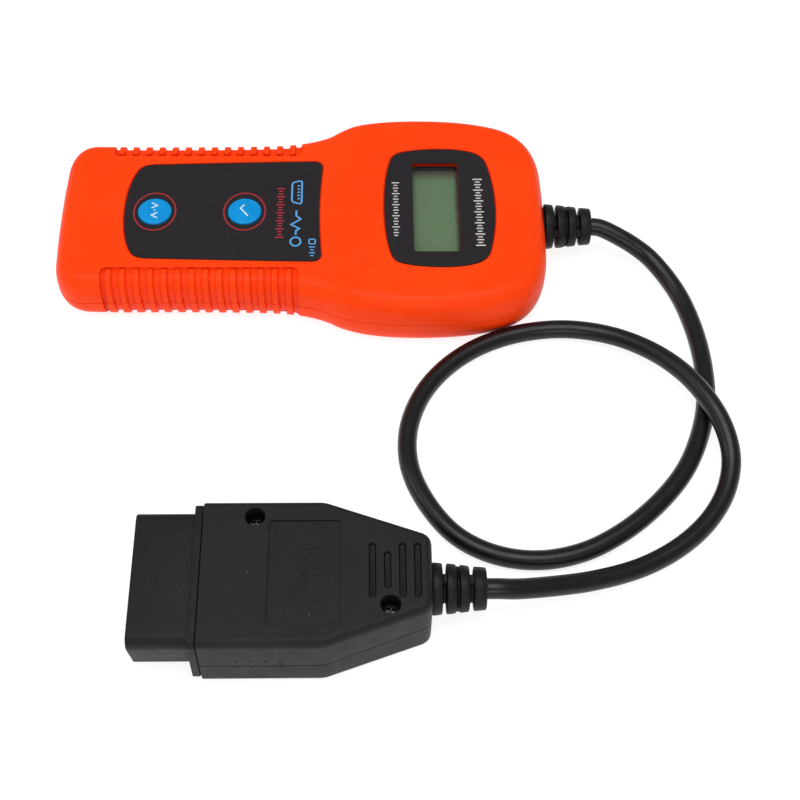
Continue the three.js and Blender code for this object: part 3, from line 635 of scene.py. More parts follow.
# ---------- reader case ----------
GRIP_TOP = 20
HEAD_TOP = 22
RAMP = (7.6, 20)
LID_STRIPS = (3, 26)
CASE_WALL = 2
EDGE_ROUND = 6
KEEL_ROUND = 6.8
EDGE_POWER = 2.6
HEEL_TUCK = 0.8
SEAM = 0.1
SEAM_GAP = 0.05
SEAM_LIP = 0.3

RIB_PITCH = 4.65
FIRST_RIB_X = -64.6
RIB_COUNT = 14
RIB_WIDTH = {"upper": 2.2, "lower": 2.5}
GROOVE_DEPTH = {"upper": 1.05, "lower": 1.3}
GRIP_SPAN = (-67.2, -1)
GRIP_TOP_EDGE = 25.5
RIB_END = 26
GRIP_FOOT = 0.45
GRIP_CORNER = 1.5

CASE_CURVES = [
    ((-84.3, 8), (-84.1, 15), (-83.8, 21)),
    ((-83.3, 28.4), (-79.4, 33.13), (-73, 33)),
    ((-55, 32.7), (-30, 32.7), (-12, 33.3)),
    ((-3, 33.6), (4, 34.9), (9.5, 38)),
    ((15, 41.4), (24, 44), (40, 44)),
    ((52, 44), (61, 42.9), (69, 40.2)),
    ((77.4, 37.2), (83.1, 30.5), (84, 19)),
    ((84.3, 13), (84.3, 7), (84.3, 0)),
]
CASE_STEPS = [14, 22, 280, 112, 30, 22, 30, 12]


def case_outline():
    """Closed outline, clockwise from the end away from the cable, with its outward normals."""
    at, half = (-CASE_END, 0), [(-CASE_END, 0)]
    for curve, steps in zip(CASE_CURVES, CASE_STEPS):
        half.extend(bezier([at, *curve], steps))
        at = curve[-1]
    half = np.array(half)
    outline = np.vstack((half, half[-2:0:-1] * (1, -1)))
    return outline, normals_2d(outline)


CASE, CASE_NORMALS = case_outline()


def seam_height(x):
    """The case's seam, which runs lower along the handle than round the head."""
    return 9.7 + 1.8 * smoothstep(-5, 30, x)


def top_height(x):
    """The case's top, which ramps up from the handle to the head."""
    return GRIP_TOP + (HEAD_TOP - GRIP_TOP) * smoothstep(*RAMP, x)


def case_ring(side, set_in, angle, extra=0.0):
    """One ring of the case's surface and its outward normals; side is +1 above and -1 below the split."""
    out, up = math.cos(angle) ** (2 / EDGE_POWER), math.sin(angle) ** (2 / EDGE_POWER)
    width = EDGE_ROUND if side > 0 else KEEL_ROUND
    beside_grips = smoothstep(-73, -67, CASE[:, 0]) * (1 - smoothstep(0, 6, CASE[:, 0]))
    inset = set_in + width * (1 - out) + extra * (0.08 + 0.92 * beside_grips)
    flat = CASE - CASE_NORMALS * inset[:, None]
    if side < 0:
        tuck = HEEL_TUCK * (1 - out) * smoothstep(59, 77, -flat[:, 0])
        flat[:, 0] += KEEL_ROUND * tuck
        flat[:, 1] *= 1 - 0.08 * tuck
    limit = top_height(flat[:, 0]) - set_in if side > 0 else np.full(len(CASE), float(set_in))
    points = np.column_stack((flat, SPLIT_Z + (limit - SPLIT_Z) * up))
    flatwise = out ** (EDGE_POWER - 1) / width
    upright = up ** (EDGE_POWER - 1) / (HEAD_TOP - SPLIT_Z)
    size = math.hypot(flatwise, upright)
    normals = np.column_stack((CASE_NORMALS * flatwise / size, np.full(len(CASE), side * upright / size)))
    return points, normals


def rounded_corner(across, along, radius):
    """Signed distance to a quarter plane with a rounded corner; negative inside."""
    a, b = across + radius, along + radius
    return np.minimum(np.maximum(a, b), 0) + np.hypot(np.maximum(a, 0), np.maximum(b, 0)) - radius


def grip_depth(points, side):
    """How deep the grip's grooves lie under the surface at each point."""
    x, y, z = points[:, 0], np.abs(points[:, 1]), points[:, 2]
    which = "upper" if side > 0 else "lower"
    half = RIB_WIDTH[which] / 2
    middle, reach = (GRIP_SPAN[0] + GRIP_SPAN[1]) / 2, (GRIP_SPAN[1] - GRIP_SPAN[0]) / 2
    nearest = np.clip(np.round((x - FIRST_RIB_X) / RIB_PITCH), 0, RIB_COUNT - 1)
    beside = np.abs(x - FIRST_RIB_X - nearest * RIB_PITCH)
    edge = GRIP_TOP_EDGE - y if side > 0 else GRIP_FOOT - z
    past_end = np.maximum(RIB_END + half - y, 0) if side > 0 else 0
    panel = rounded_corner(np.abs(x - middle) - reach, edge, GRIP_CORNER)
    rib = np.hypot(beside, past_end) - half
    return GROOVE_DEPTH[which] * smoothstep(-0.16, 0.2, -panel) * smoothstep(-0.16, 0.12, rib)


def lid_faces(first, side):
    """Closes a ring: flat polygons, with cross strips only where the top ramps up to the head."""
    count = len(CASE)
    if side < 0:
        return [tuple(range(first, first + count))]
    half = CASE[:count // 2 + 1, 0]
    low, high = np.searchsorted(half, LID_STRIPS)
    handle = [*range(low + 1), *range(count - low, count)]
    head = [*range(high, count - high + 1)]
    strips = [(i, i + 1, count - i - 1, count - i) for i in range(low, high)]
    return [tuple(first + i for i in face) for face in (handle, head, *strips)]


def case_shell(side):
    """Upper or lower half of the case as a closed shell, with its ribs, before holes are cut."""
    seam = seam_height(CASE[:, 0])
    round_angles = [0.0, 0.0, *np.linspace(0, math.pi / 2, 27)[1:]]
    flat = np.linspace(0.12, 3.4, 22) if side > 0 else [0.3]
    steps = [(angle, 0.0) for angle in round_angles] + [(math.pi / 2, extra) for extra in flat]
    rows = []
    for k, (angle, extra) in enumerate(steps):
        points, normals = case_ring(side, 0, angle, extra)
        if k < 2:
            points[:, 2] = seam + side * (SEAM_GAP + SEAM * k)
            if k == 0:
                points[:, :2] -= CASE_NORMALS * SEAM
        else:
            sunk = side * (points[:, 2] - seam) < SEAM_LIP
            points[:, 2] = np.where(sunk, seam + side * SEAM_LIP, points[:, 2])
        rows.append(points - normals * grip_depth(points, side)[:, None])
    inner = []
    for k, angle in enumerate([0.0, 0.5, 0.9, 1.2, math.pi / 2]):
        points, _ = case_ring(side, CASE_WALL, angle)
        if k == 0:
            points[:, 2] = seam + side * SEAM_GAP
        inner.append(points)
    count = len(CASE)
    base = len(rows) * count
    faces = grid_faces(len(rows), count) + grid_faces(len(inner), count, base)
    faces += [(i, (i + 1) % count, base + (i + 1) % count, base + i) for i in range(count)]
    for top in (base - count, base + (len(inner) - 1) * count):
        faces += lid_faces(top, side)
    return outward(mesh_of(np.vstack([*rows, *inner]), faces))


KEY_X = (-51, -20)
KEY_Y = -0.65
KEY_RADIUS = 5.8
KEY_HOLE = 6.1
FILM = 0.35
FILM_DEPTH = 0.6
FILM_GAP = 0.3
WINDOW_X = 46.2
WINDOW = (15.9, 40.4)
CASE_SCREWS = [(-74, 21), (-74, -21), (70, 28), (70, -28)]
SINK_RADIUS = 2.9
BOSS_RADIUS = 4.2
SHAFT_RADIUS = 1.55

KEY_LABEL = path(
    (-61.4, 0), ((-61.4, 6.5), (-60.5, 13), (-58.5, 17.4)), ((-57.3, 20), (-56, 21), (-52.8, 21.2)),
    ((-34, 21.8), (-16, 22.3), (3.4, 22.7)), ((5.6, 22.7), (6.8, 21.6), (6.7, 19.4)),
    ((6.2, 13), (5.8, 7), (5.8, 0)), steps=14)
DISPLAY_LABEL = path(
    (28.3, 0), ((28.3, 8), (29, 16), (30.7, 21.6)), ((31.4, 23.8), (32.9, 24.9), (35.3, 25.4)),
    ((39, 26.4), (44, 26.8), (48.6, 26.8)), ((53, 26.8), (56.6, 26.2), (59.4, 25.2)),
    ((61.6, 24.4), (63.1, 23), (64, 20.8)), ((65.7, 15), (66.7, 7), (66.7, 0)), steps=14)


def both_sides(half):
    """Counter-clockwise outline from its half above the x axis, drawn from left to right."""
    return np.vstack((half, half[-2:0:-1] * (1, -1)))[::-1]


def recess(outline, gap, floor, top, chamfer=0.25):
    """Cutter for a recess with a small chamfer round its mouth."""
    wide = gap + chamfer
    return stack(outline, [(gap, floor), (gap, top - chamfer), (wide, top), (wide, top + 4)])


key_outline, display_outline = both_sides(KEY_LABEL), both_sides(DISPLAY_LABEL)
window_outline = round_rect(*WINDOW, 1.2, WINDOW_X)
window_cut = straight(window_outline, 14, 26)
key_cuts = [straight(circle(KEY_HOLE, x, KEY_Y), 14, 24) for x in KEY_X]
cable_hole = turned([(4.8, 70), (4.8, 90)], 48, (0, 0, SPLIT_Z), "x")
case_look = case_orange()

front_cuts = joined([
    recess(key_outline, FILM_GAP, GRIP_TOP - FILM_DEPTH, GRIP_TOP),
    recess(display_outline, FILM_GAP, HEAD_TOP - FILM_DEPTH, HEAD_TOP),
])
front_holes = joined([window_cut, *key_cuts, cable_hole])
front = place("front_case", combined(case_shell(1), [front_cuts, front_holes]), case_look)
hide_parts("front_shell")

sinks = [straight(circle(SINK_RADIUS, x, y), -2, 3.6) for x, y in CASE_SCREWS]
sink_rims = [stack(circle(SINK_RADIUS, x, y), [(0.35, -1), (0.35, 0), (0, 0.35)]) for x, y in CASE_SCREWS]
bosses = [straight(circle(BOSS_RADIUS, x, y), 1, 10.8) for x, y in CASE_SCREWS]
shafts = [straight(circle(SHAFT_RADIUS, x, y), 0.4, 12) for x, y in CASE_SCREWS]
rear_mesh = combined(case_shell(-1), [joined(bosses)], "UNION")
rear_mesh = combined(rear_mesh, [joined([*sinks, cable_hole]), joined(sink_rims), joined(shafts)])
rear = place("rear_case", rear_mesh, case_look)
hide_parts("rear_shell")


# ---------- labels and their printing ----------
film_look = label_film()
GLUE = 0.1
KEY_FILM_TOP = GRIP_TOP - FILM_DEPTH + GLUE + FILM
DISPLAY_FILM_TOP = HEAD_TOP - FILM_DEPTH + GLUE + FILM
PRINT = 0.035
PRINT_SINK = 0.01


def film(outline, top, holes):
    """A label with a rounded edge and holes through it."""
    body = stack(outline, [(-0.04, top - FILM), (0, top - FILM + 0.05), (0, top - 0.12), (-0.12, top)])
    return combined(body, [joined(holes)])


key_film = place("key_label", film(key_outline, KEY_FILM_TOP, key_cuts), film_look)
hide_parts("key_overlay")
display_film = place(
    "display_label", film(display_outline, DISPLAY_FILM_TOP, [window_cut]), film_look)
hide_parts("display_overlay")


def strokes(name, lines, width, top, look):
    """Printed strokes lying on a label: lines are (closed, points)."""
    meshes = [band(points, width, top - PRINT_SINK, top + PRINT, closed) for closed, points in lines]
    place(name, joined(meshes), look)


def ellipse(x, y, rx, ry, sides=72):
    """Outline, counter-clockwise."""
    return circle(1, 0, 0, sides) * (rx, ry) + (x, y)


def ticks(x, y0, y1, count, heights):
    """Ticks along x with their middles at x, in a row from y0 to y1; heights repeat in turn."""
    rows = []
    for i in range(count):
        y = y0 + (y1 - y0) * i / (count - 1)
        half = heights[i % len(heights)] / 2
        rows.append((False, [(x - half, y), (x + half, y)]))
    return rows


def connector_icon(x, y, long, short, tall):
    """Outline of a vehicle socket: long side towards +x, short side towards -x."""
    h = tall / 2
    r = 0.16 * tall
    corners = np.array([
        (x - h, y + short / 2), (x - h, y - short / 2), (x + h, y - long / 2), (x + h, y + long / 2)], float)
    out = []
    for before, here, after in zip(np.roll(corners, 1, 0), corners, np.roll(corners, -1, 0)):
        a = here + (before - here) / np.linalg.norm(before - here) * r * 2
        b = here + (after - here) / np.linalg.norm(after - here) * r * 2
        out.extend([a, *bezier([a, here, b], 5)])
    return out


ring_red = printed("print_red", (0.4, 0.012, 0.02))
blue_ink = printed("print_blue", (0.09, 0.38, 0.78))
red_ink = printed("print_crimson", (0.42, 0.014, 0.035))
white_ink = printed("print_white", (0.62, 0.6, 0.58))

KEY_RING = (7.17, 8.39)
strokes("key_rings", [(True, ellipse(x, KEY_Y, *KEY_RING)) for x in KEY_X], 0.5, KEY_FILM_TOP, ring_red)

pulse = [(-2.1, -0.2), (-2.1, -2.6), (-0.5, -4.1), (-3.8, -6.6), (-0.9, -8.4), (-2.1, -9.4), (-2.1, -11.2)]
blue_lines = [
    (True, connector_icon(-2.1, 8.2, 11, 9, 3.4)),
    *ticks(-1.5, 5.2, 11.2, 5, [0.8]),
    (False, pulse),
    (True, ellipse(-2.1, -14.2, 1.75, 1.9, 36)),
]
strokes("mark_blue_row", blue_lines, 0.6, KEY_FILM_TOP, blue_ink)
strokes("mark_red_row", ticks(-7.7, 9.9, -12.3, 19, [2.9, 1.5, 1.5]), 0.5, KEY_FILM_TOP, red_ink)
code_lines = [(True, round_rect(2.1, 2.1, 0.5, 3.6, -14.2)), *ticks(3.6, -16.6, -20.4, 4, [2.1, 1.1])]
strokes("mark_blue_code", code_lines, 0.45, KEY_FILM_TOP, blue_ink)
handle_ticks = ticks(32.3, 10.8, -13.2, 20, [2.6, 1.3, 1.9, 1.3])
cable_ticks = ticks(61, 12.4, -17.6, 25, [3.3, 1.6, 2.4, 1.6])
strokes("mark_display_near_handle", handle_ticks, 0.45, DISPLAY_FILM_TOP, white_ink)
strokes("mark_display_near_cable", cable_ticks, 0.5, DISPLAY_FILM_TOP, white_ink)


# ---------- keys ----------
CROWN = 0.6
CROWN_SAG = 0.18
KEY_FLANGE = 7
KEY_FOOT = 16.7
KEY_EDGE = GRIP_TOP - 0.25
UNDER_CASE = 0.3


def key_top(r):
    """Height of a key's face at a distance from its middle."""
    return GRIP_TOP + CROWN - CROWN_SAG * (r / KEY_RADIUS) ** 2


def key_mesh(x):
    """A key with a flange under the case and a rounded, slightly domed face."""
    rim = GRIP_TOP - CASE_WALL - UNDER_CASE
    profile = [
        (KEY_FLANGE - 0.2, KEY_FOOT), (KEY_FLANGE, KEY_FOOT + 0.15), (KEY_FLANGE, rim - 0.15),
        (KEY_FLANGE - 0.15, rim), (KEY_RADIUS, rim), (KEY_RADIUS, KEY_EDGE)]
    for a in np.linspace(0.2, math.pi / 2, 7):
        profile.append((KEY_RADIUS - 0.7 * (1 - math.cos(a)), KEY_EDGE + 0.68 * math.sin(a)))
    profile += [(r, key_top(r)) for r in (4.4, 3.6, 2.7, 1.8, 0.9, 0.2)]
    return outward(turned(profile, 72, (x, KEY_Y, 0)))


key_look = key_blue()
icon_look = printed("key_print", (0.66, 0.8, 0.9))
ICON_WIDTH = 0.5
ICONS = {
    "scroll": [
        [(-1.1, 3.4), (0.9, 2.2), (-1.1, 1)], [(1.1, -1), (-0.9, -2.2), (1.1, -3.4)],
        [(0, 0.25), (0, -0.25)]],
    "enter": [[(-0.1, 2.4), (-1.4, 0.9), (1.3, -2.6)]],
}
for name, x in zip(("scroll", "enter"), KEY_X):
    key = place(f"{name}_key", key_mesh(x), key_look, f"{name}_key")
    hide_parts(f"{name}_button")
    meshes = []
    for icon in ICONS[name]:
        line = [(x + dx, KEY_Y + dy) for dx, dy in icon]
        fine = np.vstack([np.linspace(a, b, 9)[:-1] for a, b in zip(line, line[1:])] + [[line[-1]]])
        mesh = band(fine, ICON_WIDTH, 0, PRINT, closed=False)
        for vertex in mesh.vertices:
            r = math.hypot(vertex.co.x / MM - x, vertex.co.y / MM - KEY_Y)
            vertex.co.z += (key_top(r) - PRINT_SINK) * MM
        meshes.append(mesh)
    place(f"{name}_key_icon", joined(meshes), icon_look, f"{name}_key")


# ---------- display ----------
LENS_FLANGE = 4
lens_under = HEAD_TOP - CASE_WALL - UNDER_CASE
flange_outline = round_rect(WINDOW[0] + LENS_FLANGE, WINDOW[1] + LENS_FLANGE, 2, WINDOW_X)
flange = straight(flange_outline, lens_under - 0.8, lens_under)
pane = stack(window_outline, [
    (-0.3, lens_under - 0.4), (-0.3, HEAD_TOP - 0.65), (-0.36, HEAD_TOP - 0.46), (-0.5, HEAD_TOP - 0.4)])
lens = place("display_window", combined(flange, [pane], "UNION"), window_clear())
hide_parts("display_lens")


# ---------- vehicle plug ----------
HOOD_FRONT = -26.5
HOOD_TAPER = 9.6
TAPER_BEND = 1.6
HOOD_TAIL = (38.6, 13.1)
HOOD_HALF = 23.7
HOOD_TOP = 25
HOOD_WALL = 2
HOOD_BEVEL = (2, 3)
HOOD_CHAMFER = 0.22
FRONT_SPLIT = 11
SPLIT_GAP = 0.1
PLUG_SCREWS = [(-11.1, 18), (28.9, -11)]
POST_RADIUS = 4.1
SCREW_SEAT = 19.5
COLLAR_X = (-29.2, -26.8)
COLLAR = (46.8, 22)
COLLAR_Z = 12.6
BLOCK = (42.8, 19.4)
BRIDGE = (36.4, 2.2)
PLUG_FRONT = -46.9
SHROUD_Z = (2.6, 22.3)
SHROUD_HALF = (19.4, 21.9)
SHROUD_WALL = 1.6
SHROUD_ROUND = (3.2, 4)
PIN_ROWS = (16.9, 8.1)
PIN_PITCH = 4
PIN_SLOT = (2, 1.4)
plug_look = plug_black()


def hood_outline():
    """From the front's far corner round the tail to its near corner, with outward normals."""
    slope = (HOOD_HALF - HOOD_TAIL[1]) / (HOOD_TAIL[0] - HOOD_TAPER)
    half = path(
        (HOOD_FRONT, HOOD_HALF), ((HOOD_FRONT + 0.25, HOOD_HALF),), ((HOOD_TAPER - TAPER_BEND, HOOD_HALF),),
        ((HOOD_TAPER, HOOD_HALF), (HOOD_TAPER + TAPER_BEND, HOOD_HALF - slope * TAPER_BEND)), (HOOD_TAIL,),
        ((40.4, 12.2), (HOOD_END, 11.2), (HOOD_END, 9)), steps=10)
    line = np.vstack((half, half[::-1] * (1, -1)))
    return line, miters(line, closed=False)


HOOD, HOOD_NORMALS = hood_outline()


def hood_seam(x):
    """The plug's seam, which rises along the taper to the cable's height."""
    return np.interp(x, (HOOD_TAPER, HOOD_TAIL[0]), (FRONT_SPLIT, HOOD_SPLIT))


def hood_rows(set_in):
    """Rings of the upper hood's surface from the split to its flat top."""
    wide, tall = HOOD_BEVEL
    profile = [
        (SPLIT_GAP, HOOD_SPLIT + SPLIT_GAP, 0), (0, HOOD_SPLIT + HOOD_CHAMFER, 0), (0, HOOD_TOP - tall, 0)]
    for a in np.linspace(0, math.pi / 2, 11)[1:]:
        profile.append((wide * (1 - math.cos(a)), HOOD_TOP - tall + tall * math.sin(a), math.sin(a)))
    profile.append((wide + 0.25, HOOD_TOP, 1))
    rows = []
    for inset, z, up in profile:
        edge = np.zeros(len(HOOD))
        if set_in == 0:
            edge[[0, -1]] = HOOD_CHAMFER
        line = HOOD - HOOD_NORMALS * (inset + set_in + edge)[:, None]
        rows.append(np.column_stack((line, z - (set_in + edge) * up)))
    return rows


def hood_half(side):
    """Upper (+1) or lower (-1) half of the plug's housing as a closed shell, open at the front."""
    outer, inner = hood_rows(0), hood_rows(HOOD_WALL)
    count, levels = len(HOOD), len(outer)
    points = np.vstack([*outer, *inner])
    base = levels * count
    top = base - count

    def sheet(start):
        corners = [start + k * count + i for k in range(levels - 1) for i in range(count - 1)]
        return [(a, a + 1, a + count + 1, a + count) for a in corners]

    def lid(start):
        end = start + count - 1
        return [(start + i, start + i + 1, end - 1 - i, end - i) for i in range(count // 2 - 1)]

    faces = sheet(0) + sheet(base) + lid(top) + lid(base + top)
    faces += [(i, i + 1, base + i + 1, base + i) for i in range(count - 1)]
    for end in (0, count - 1):
        faces += [(a, a + count, base + a + count, base + a) for a in range(end, end + top, count)]
    faces.append((top, top + count - 1, base + top + count - 1, base + top))
    if side < 0:
        points = points * (1, 1, -1) + (0, 0, 2 * HOOD_SPLIT)
    for start in (0, base):
        edge = points[start:start + 2 * count]
        edge[:, 2] += hood_seam(edge[:, 0]) - HOOD_SPLIT
    mesh = outward(mesh_of(points + (0, PLUG_Y, 0), faces))
    z0, z1 = (HOOD_SPLIT + 0.3, HOOD_TOP - 1) if side > 0 else (1, HOOD_SPLIT - 0.3)
    posts = [straight(circle(POST_RADIUS, x, y + PLUG_Y), z0, z1) for x, y in PLUG_SCREWS]
    neck = turned([(4.8, 33), (4.8, 50)], 48, (0, PLUG_Y, HOOD_SPLIT), "x")
    holes = [straight(circle(SHAFT_RADIUS, x, y + PLUG_Y), 3, 30) for x, y in PLUG_SCREWS]
    mesh = combined(mesh, [joined(posts)], "UNION")
    return combined(mesh, [joined([neck, *holes])])


def notches(size, z):
    """Cutters for a row of four small notches in the plug's near side."""
    outlines = [round_rect(*size, 0.15, -15.5 + 4.2 * i, PLUG_Y - HOOD_HALF) for i in range(4)]
    return [straight(outline, z - 0.3, z + 0.3) for outline in outlines]


PANEL_FLOOR = HOOD_TOP - 0.6
GROOVES = [(23.7, 8.9), (28.1, 6.1), (32.5, 8.9), (36.9, 8.9)]
GROOVE_LEVELS = [
    (-0.7, HOOD_TOP - 1.3), (-0.3, HOOD_TOP - 1.15), (-0.05, HOOD_TOP - 0.7), (0, HOOD_TOP - 0.15),
    (0.1, HOOD_TOP), (0.1, 30)]
WELL_LEVELS = [(0, SCREW_SEAT), (0, HOOD_TOP - HOOD_CHAMFER), (0.2, HOOD_TOP), (0.2, 30)]
wells = [stack(circle(2.95, x, y + PLUG_Y), WELL_LEVELS) for x, y in PLUG_SCREWS]
panel = recess(round_rect(21.2, 34, 1.2, 3.8, PLUG_Y - 0.3), 0, PANEL_FLOOR, HOOD_TOP, 0.12)
grooves = [stack(round_rect(2.05, 2 * half, 1.02, x, PLUG_Y, 8), GROOVE_LEVELS) for x, half in GROOVES]
emblem = [
    (True, connector_icon(5.9, PLUG_Y - 2, 21, 17.5, 9.6)), *ticks(8.1, PLUG_Y - 9, PLUG_Y + 5, 8, [1.9]),
    *ticks(4, PLUG_Y - 8, PLUG_Y + 4, 8, [1.9])]
emblem_mesh = joined([
    band(points, 0.7, PANEL_FLOOR - 0.2, PANEL_FLOOR + 0.16, closed) for closed, points in emblem])

upper_mesh = combined(hood_half(1), [joined([*wells, *grooves, *notches((0.8, 1.6), 13.9)]), panel])
upper = place("plug_upper_half", combined(upper_mesh, [emblem_mesh], "UNION"), plug_look)
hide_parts("plug_upper_shell")

lower_mesh = combined(hood_half(-1), [joined(notches((0.5, 0.8), 10.3))])
lower = place("plug_lower_half", lower_mesh, plug_look)
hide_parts("plug_lower_shell")


def along_x(outline, levels):
    """A solid raised along +X from an outline in (y, z): levels are (grow, x)."""
    mesh = stack(outline, levels)
    for vertex in mesh.vertices:
        y, z, x = vertex.co
        vertex.co = (x, y, z)
    return outward(mesh)


def shroud_outline(inset=0.0):
    """The vehicle connector's outline: wider on top than below."""
    b, t = (half - inset for half in SHROUD_HALF)
    z0, z1 = SHROUD_Z[0] + inset, SHROUD_Z[1] - inset
    low, high = (radius - 0.6 * inset for radius in SHROUD_ROUND)
    line = path(
        (-b + low, z0), ((b - low, z0),), ((b, z0), (b, z0 + low)),
        ((t, z1 - high),), ((t, z1), (t - high, z1)), ((-t + high, z1),), ((-t, z1), (-t, z1 - high)),
        ((-b, z0 + low),), ((-b, z0), (-b + low, z0)), steps=10)
    return line[:-1] + (PLUG_Y, 0)


collar = round_rect(*COLLAR, 2, PLUG_Y, COLLAR_Z, 8)
floor_x = COLLAR_X[0] - 0.6
outside = along_x(shroud_outline(), [
    (-0.45, PLUG_FRONT), (-0.12, PLUG_FRONT + 0.12), (0, PLUG_FRONT + 0.45), (0, COLLAR_X[0] + 0.5)])
cavity = along_x(shroud_outline(SHROUD_WALL), [
    (0.35, PLUG_FRONT - 1), (0.35, PLUG_FRONT), (0, PLUG_FRONT + 0.35), (0, floor_x)])
insert = combined(outside, [cavity])
plate = along_x(collar, [
    (-0.3, COLLAR_X[0]), (-0.08, COLLAR_X[0] + 0.08), (0, COLLAR_X[0] + 0.3),
    (0, COLLAR_X[1] - 0.2), (-0.2, COLLAR_X[1])])
block = along_x(round_rect(*BLOCK, 2, PLUG_Y, HOOD_SPLIT), [(0, COLLAR_X[1] - 1), (0, -18)])
bridge = along_x(round_rect(*BRIDGE, 0.3, PLUG_Y, HOOD_SPLIT, 3), [
    (-0.25, PLUG_FRONT + 0.8), (0, PLUG_FRONT + 1.1), (0, floor_x + 0.4)])
insert = combined(insert, [plate, block, bridge], "UNION")
SLOT_LEVELS = [(0.35, floor_x - 4), (0.35, floor_x), (0, floor_x + 0.35), (0, -10)]
pin_slots = [
    along_x(round_rect(*PIN_SLOT, 0.15, PLUG_Y + (i - 3.5) * PIN_PITCH, z, 2), SLOT_LEVELS)
    for z in PIN_ROWS for i in range(8)]
insert = combined(insert, [joined(pin_slots)])
insert_piece = place("plug_connector_body", insert, plug_look)
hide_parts("plug_insert")


# ---------- screws ----------
steel = metal("screw_steel", (0.32, 0.32, 0.33), 0.34, (1, 1, 6))
black_steel = metal("screw_black", (0.06, 0.058, 0.062), 0.38, (1, 1, 6))
SCREW_R = 1.25
HEAD_R = 2.5
THREAD = 0.8


def screw_mesh(x, y, seat, length, side):
    """Pan-head cross-recess screw, head up for side +1 and down for -1, with a rolled thread."""
    profile = [(0.15, -length), (SCREW_R * 0.55, -length + 0.5)]
    for i in range(int((length - 1.2) / THREAD)):
        z = -length + THREAD + THREAD * i
        profile += [(SCREW_R * 0.76, z), (SCREW_R, z + 0.35), (SCREW_R, z + 0.45)]
    profile += [(SCREW_R * 0.8, -0.3), (SCREW_R * 0.8, 0), (HEAD_R - 0.1, 0), (HEAD_R, 0.12), (HEAD_R, 0.75)]
    for a in np.linspace(0.25, math.pi / 2, 7):
        profile.append((HEAD_R - 0.06 - HEAD_R * 0.9 * (1 - math.cos(a)), 0.75 + 0.9 * math.sin(a)))
    body = turned(profile, 40)
    arms = [stack(round_rect(w, d, 0.32, steps=4), [(-0.22, 0.55), (0, 1.3), (0.1, 2.4)])
            for w, d in ((2.9, 0.78), (0.78, 2.9))]
    body = combined(body, [outward(arms[0]), outward(arms[1])])
    body.transform(Matrix.Diagonal((1, side, side, 1)))
    body.transform(Matrix.Rotation(0.5 + 0.9 * x, 4, "Z"))
    body.transform(Matrix.Translation((x * MM, y * MM, seat * MM)))
    return outward(body)


def screws(kind, places, seat, length, side, look):
    """Screws of one kind at their places, each standing for its CAD node."""
    pieces = []
    for i, (x, y) in enumerate(places):
        name = f"{kind}_screw_{i + 1}"
        piece = place(f"{name}_detail", screw_mesh(x, y, seat, length, side), look)
        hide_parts(name)
        pieces.append(piece)
    return pieces


plug_places = [(x, y + PLUG_Y) for x, y in PLUG_SCREWS]
plug_screws = screws("plug", plug_places, SCREW_SEAT + 0.3, 12.6, 1, black_steel)
screws("case", CASE_SCREWS, 3.3, 11.2, -1, steel)


# ---------- materials of the CAD solids that stay in view ----------
board = circuit_board()
chip = chip_black()
tin = metal("tinned_steel", (0.55, 0.56, 0.57), 0.32, (1, 1, 1), 3)
brass = metal("pin_brass", (0.62, 0.42, 0.16), 0.3, (0.2, 1, 1), 6)
nylon = moulded("white_nylon", (0.66, 0.64, 0.58), (0.72, 0.7, 0.64), 0.42, 4, 0.012, 0.2).material
diffuser = moulded("backlight_diffuser", (0.7, 0.72, 0.6), (0.76, 0.78, 0.66), 0.35, 3, 0.01, 0.1).material
bezel = moulded("display_bezel", (0.12, 0.105, 0.1), (0.14, 0.12, 0.115), 0.5, 3, 0.01, 0.1).material
insulation = moulded("wire_insulation", (0.02, 0.02, 0.021), (0.06, 0.012, 0.012), 0.4, 3, 0.01, 0.3).material
capacitor_can = metal("capacitor_can", (0.5, 0.51, 0.53), 0.28, (1, 1, 0.2), 5)
glass_low, glass_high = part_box("lcd_glass")
glass_center = [(a + b) / 2 for a, b in zip(glass_low, glass_high)]
glass_green = lcd_green(glass_center, (WINDOW[0] / 2 * MM, WINDOW[1] / 2 * MM))
pins = [f"plug_pin_{i + 1:02d}" for i in range(16)]
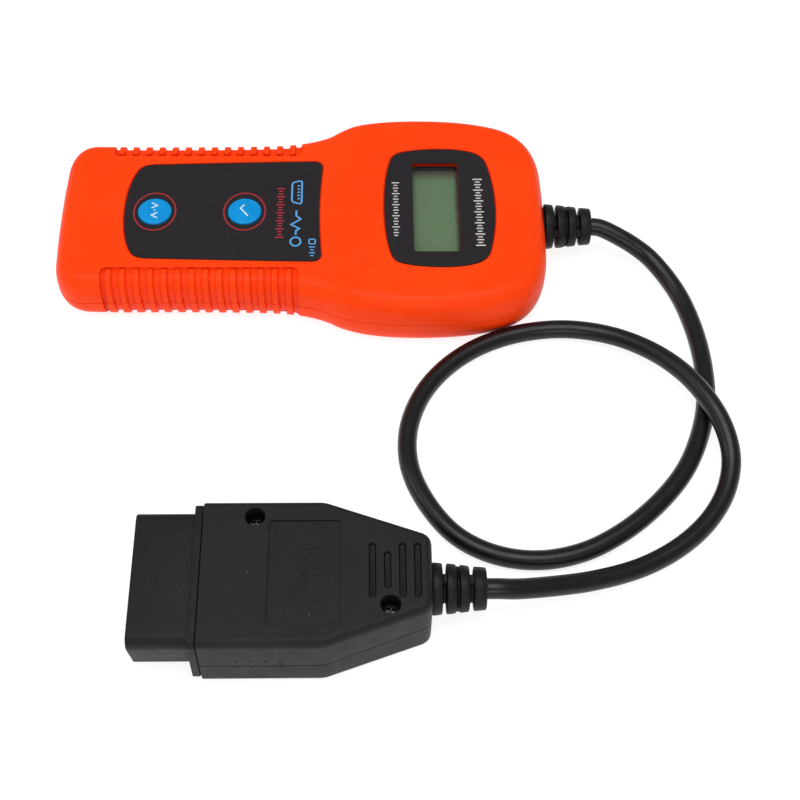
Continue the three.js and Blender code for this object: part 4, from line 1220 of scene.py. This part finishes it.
LOOKS = [
    (board, ["main_board", "lcd_board"]),
    (chip, ["microcontroller", "bus_transceiver", "voltage_regulator", "lcd_header"]),
    (chip, ["scroll_switch_plunger", "enter_switch_plunger"]),
    (tin, ["crystal", "scroll_switch_base", "enter_switch_base"]),
    (capacitor_can, ["filter_capacitor"]),
    (nylon, ["cable_header", "cable_connector"]),
    (insulation, ["reader_wires", "plug_wires"]),
    (glass_green, ["lcd_glass"]),
    (bezel, ["lcd_frame"]),
    (diffuser, ["lcd_backlight"]),
    (steel, [f"board_screw_{i + 1}" for i in range(4)]),
    (brass, pins),
]
for material, names in LOOKS:
    for name in names:
        materials = bpy.data.objects[name].data.materials
        materials.clear()
        materials.append(material)


# ---------- floor and light ----------
def floor_white():
    """Matt white that the soft light can't shade grey."""
    look = Look("floor_white", (0.32, 0.32, 0.32), 0.9, Specular_IOR_Level=0.1, Emission_Strength=0.84)
    look.set("Emission Color", (1, 1, 1, 1))
    look.rough(look.noise(0.02, 2), 0.85, 0.95)
    return look.material


FLOOR_HALF, FLOOR_Z = 2500, -0.05
around = ((-1, -1), (1, -1), (1, 1), (-1, 1))
floor_mesh = mesh_of([(x * FLOOR_HALF, y * FLOOR_HALF, FLOOR_Z) for x, y in around], [(0, 1, 2, 3)])
floor_mesh.materials.append(floor_white())
ground = added("floor", floor_mesh)


def softbox(name, at, toward, size, watts):
    lamp = bpy.data.lights.new(name, "AREA")
    lamp.shape = "RECTANGLE"
    lamp.size, lamp.size_y = size
    lamp.energy = watts
    direction = Vector(toward) - Vector(at)
    turn = direction.to_track_quat("-Z", "Y").to_matrix().to_4x4()
    added(name, lamp).matrix_world = Matrix.Translation(at) @ turn


world = bpy.data.worlds.new("studio")
world.use_nodes = True
world.node_tree.nodes["Background"].inputs[0].default_value = (1, 1, 1, 1)
world.node_tree.nodes["Background"].inputs[1].default_value = 0.4
scene.world = world
softbox("overhead", (0, -0.1, 1.1), (0, -0.06, 0), (0.9, 0.7), 7.5)
softbox("front", (0.1, -1.3, 0.7), (0, -0.05, 0), (0.9, 0.5), 4)
softbox("left", (-1.2, 0.1, 0.8), (0, 0, 0), (0.5, 0.8), 2.5)
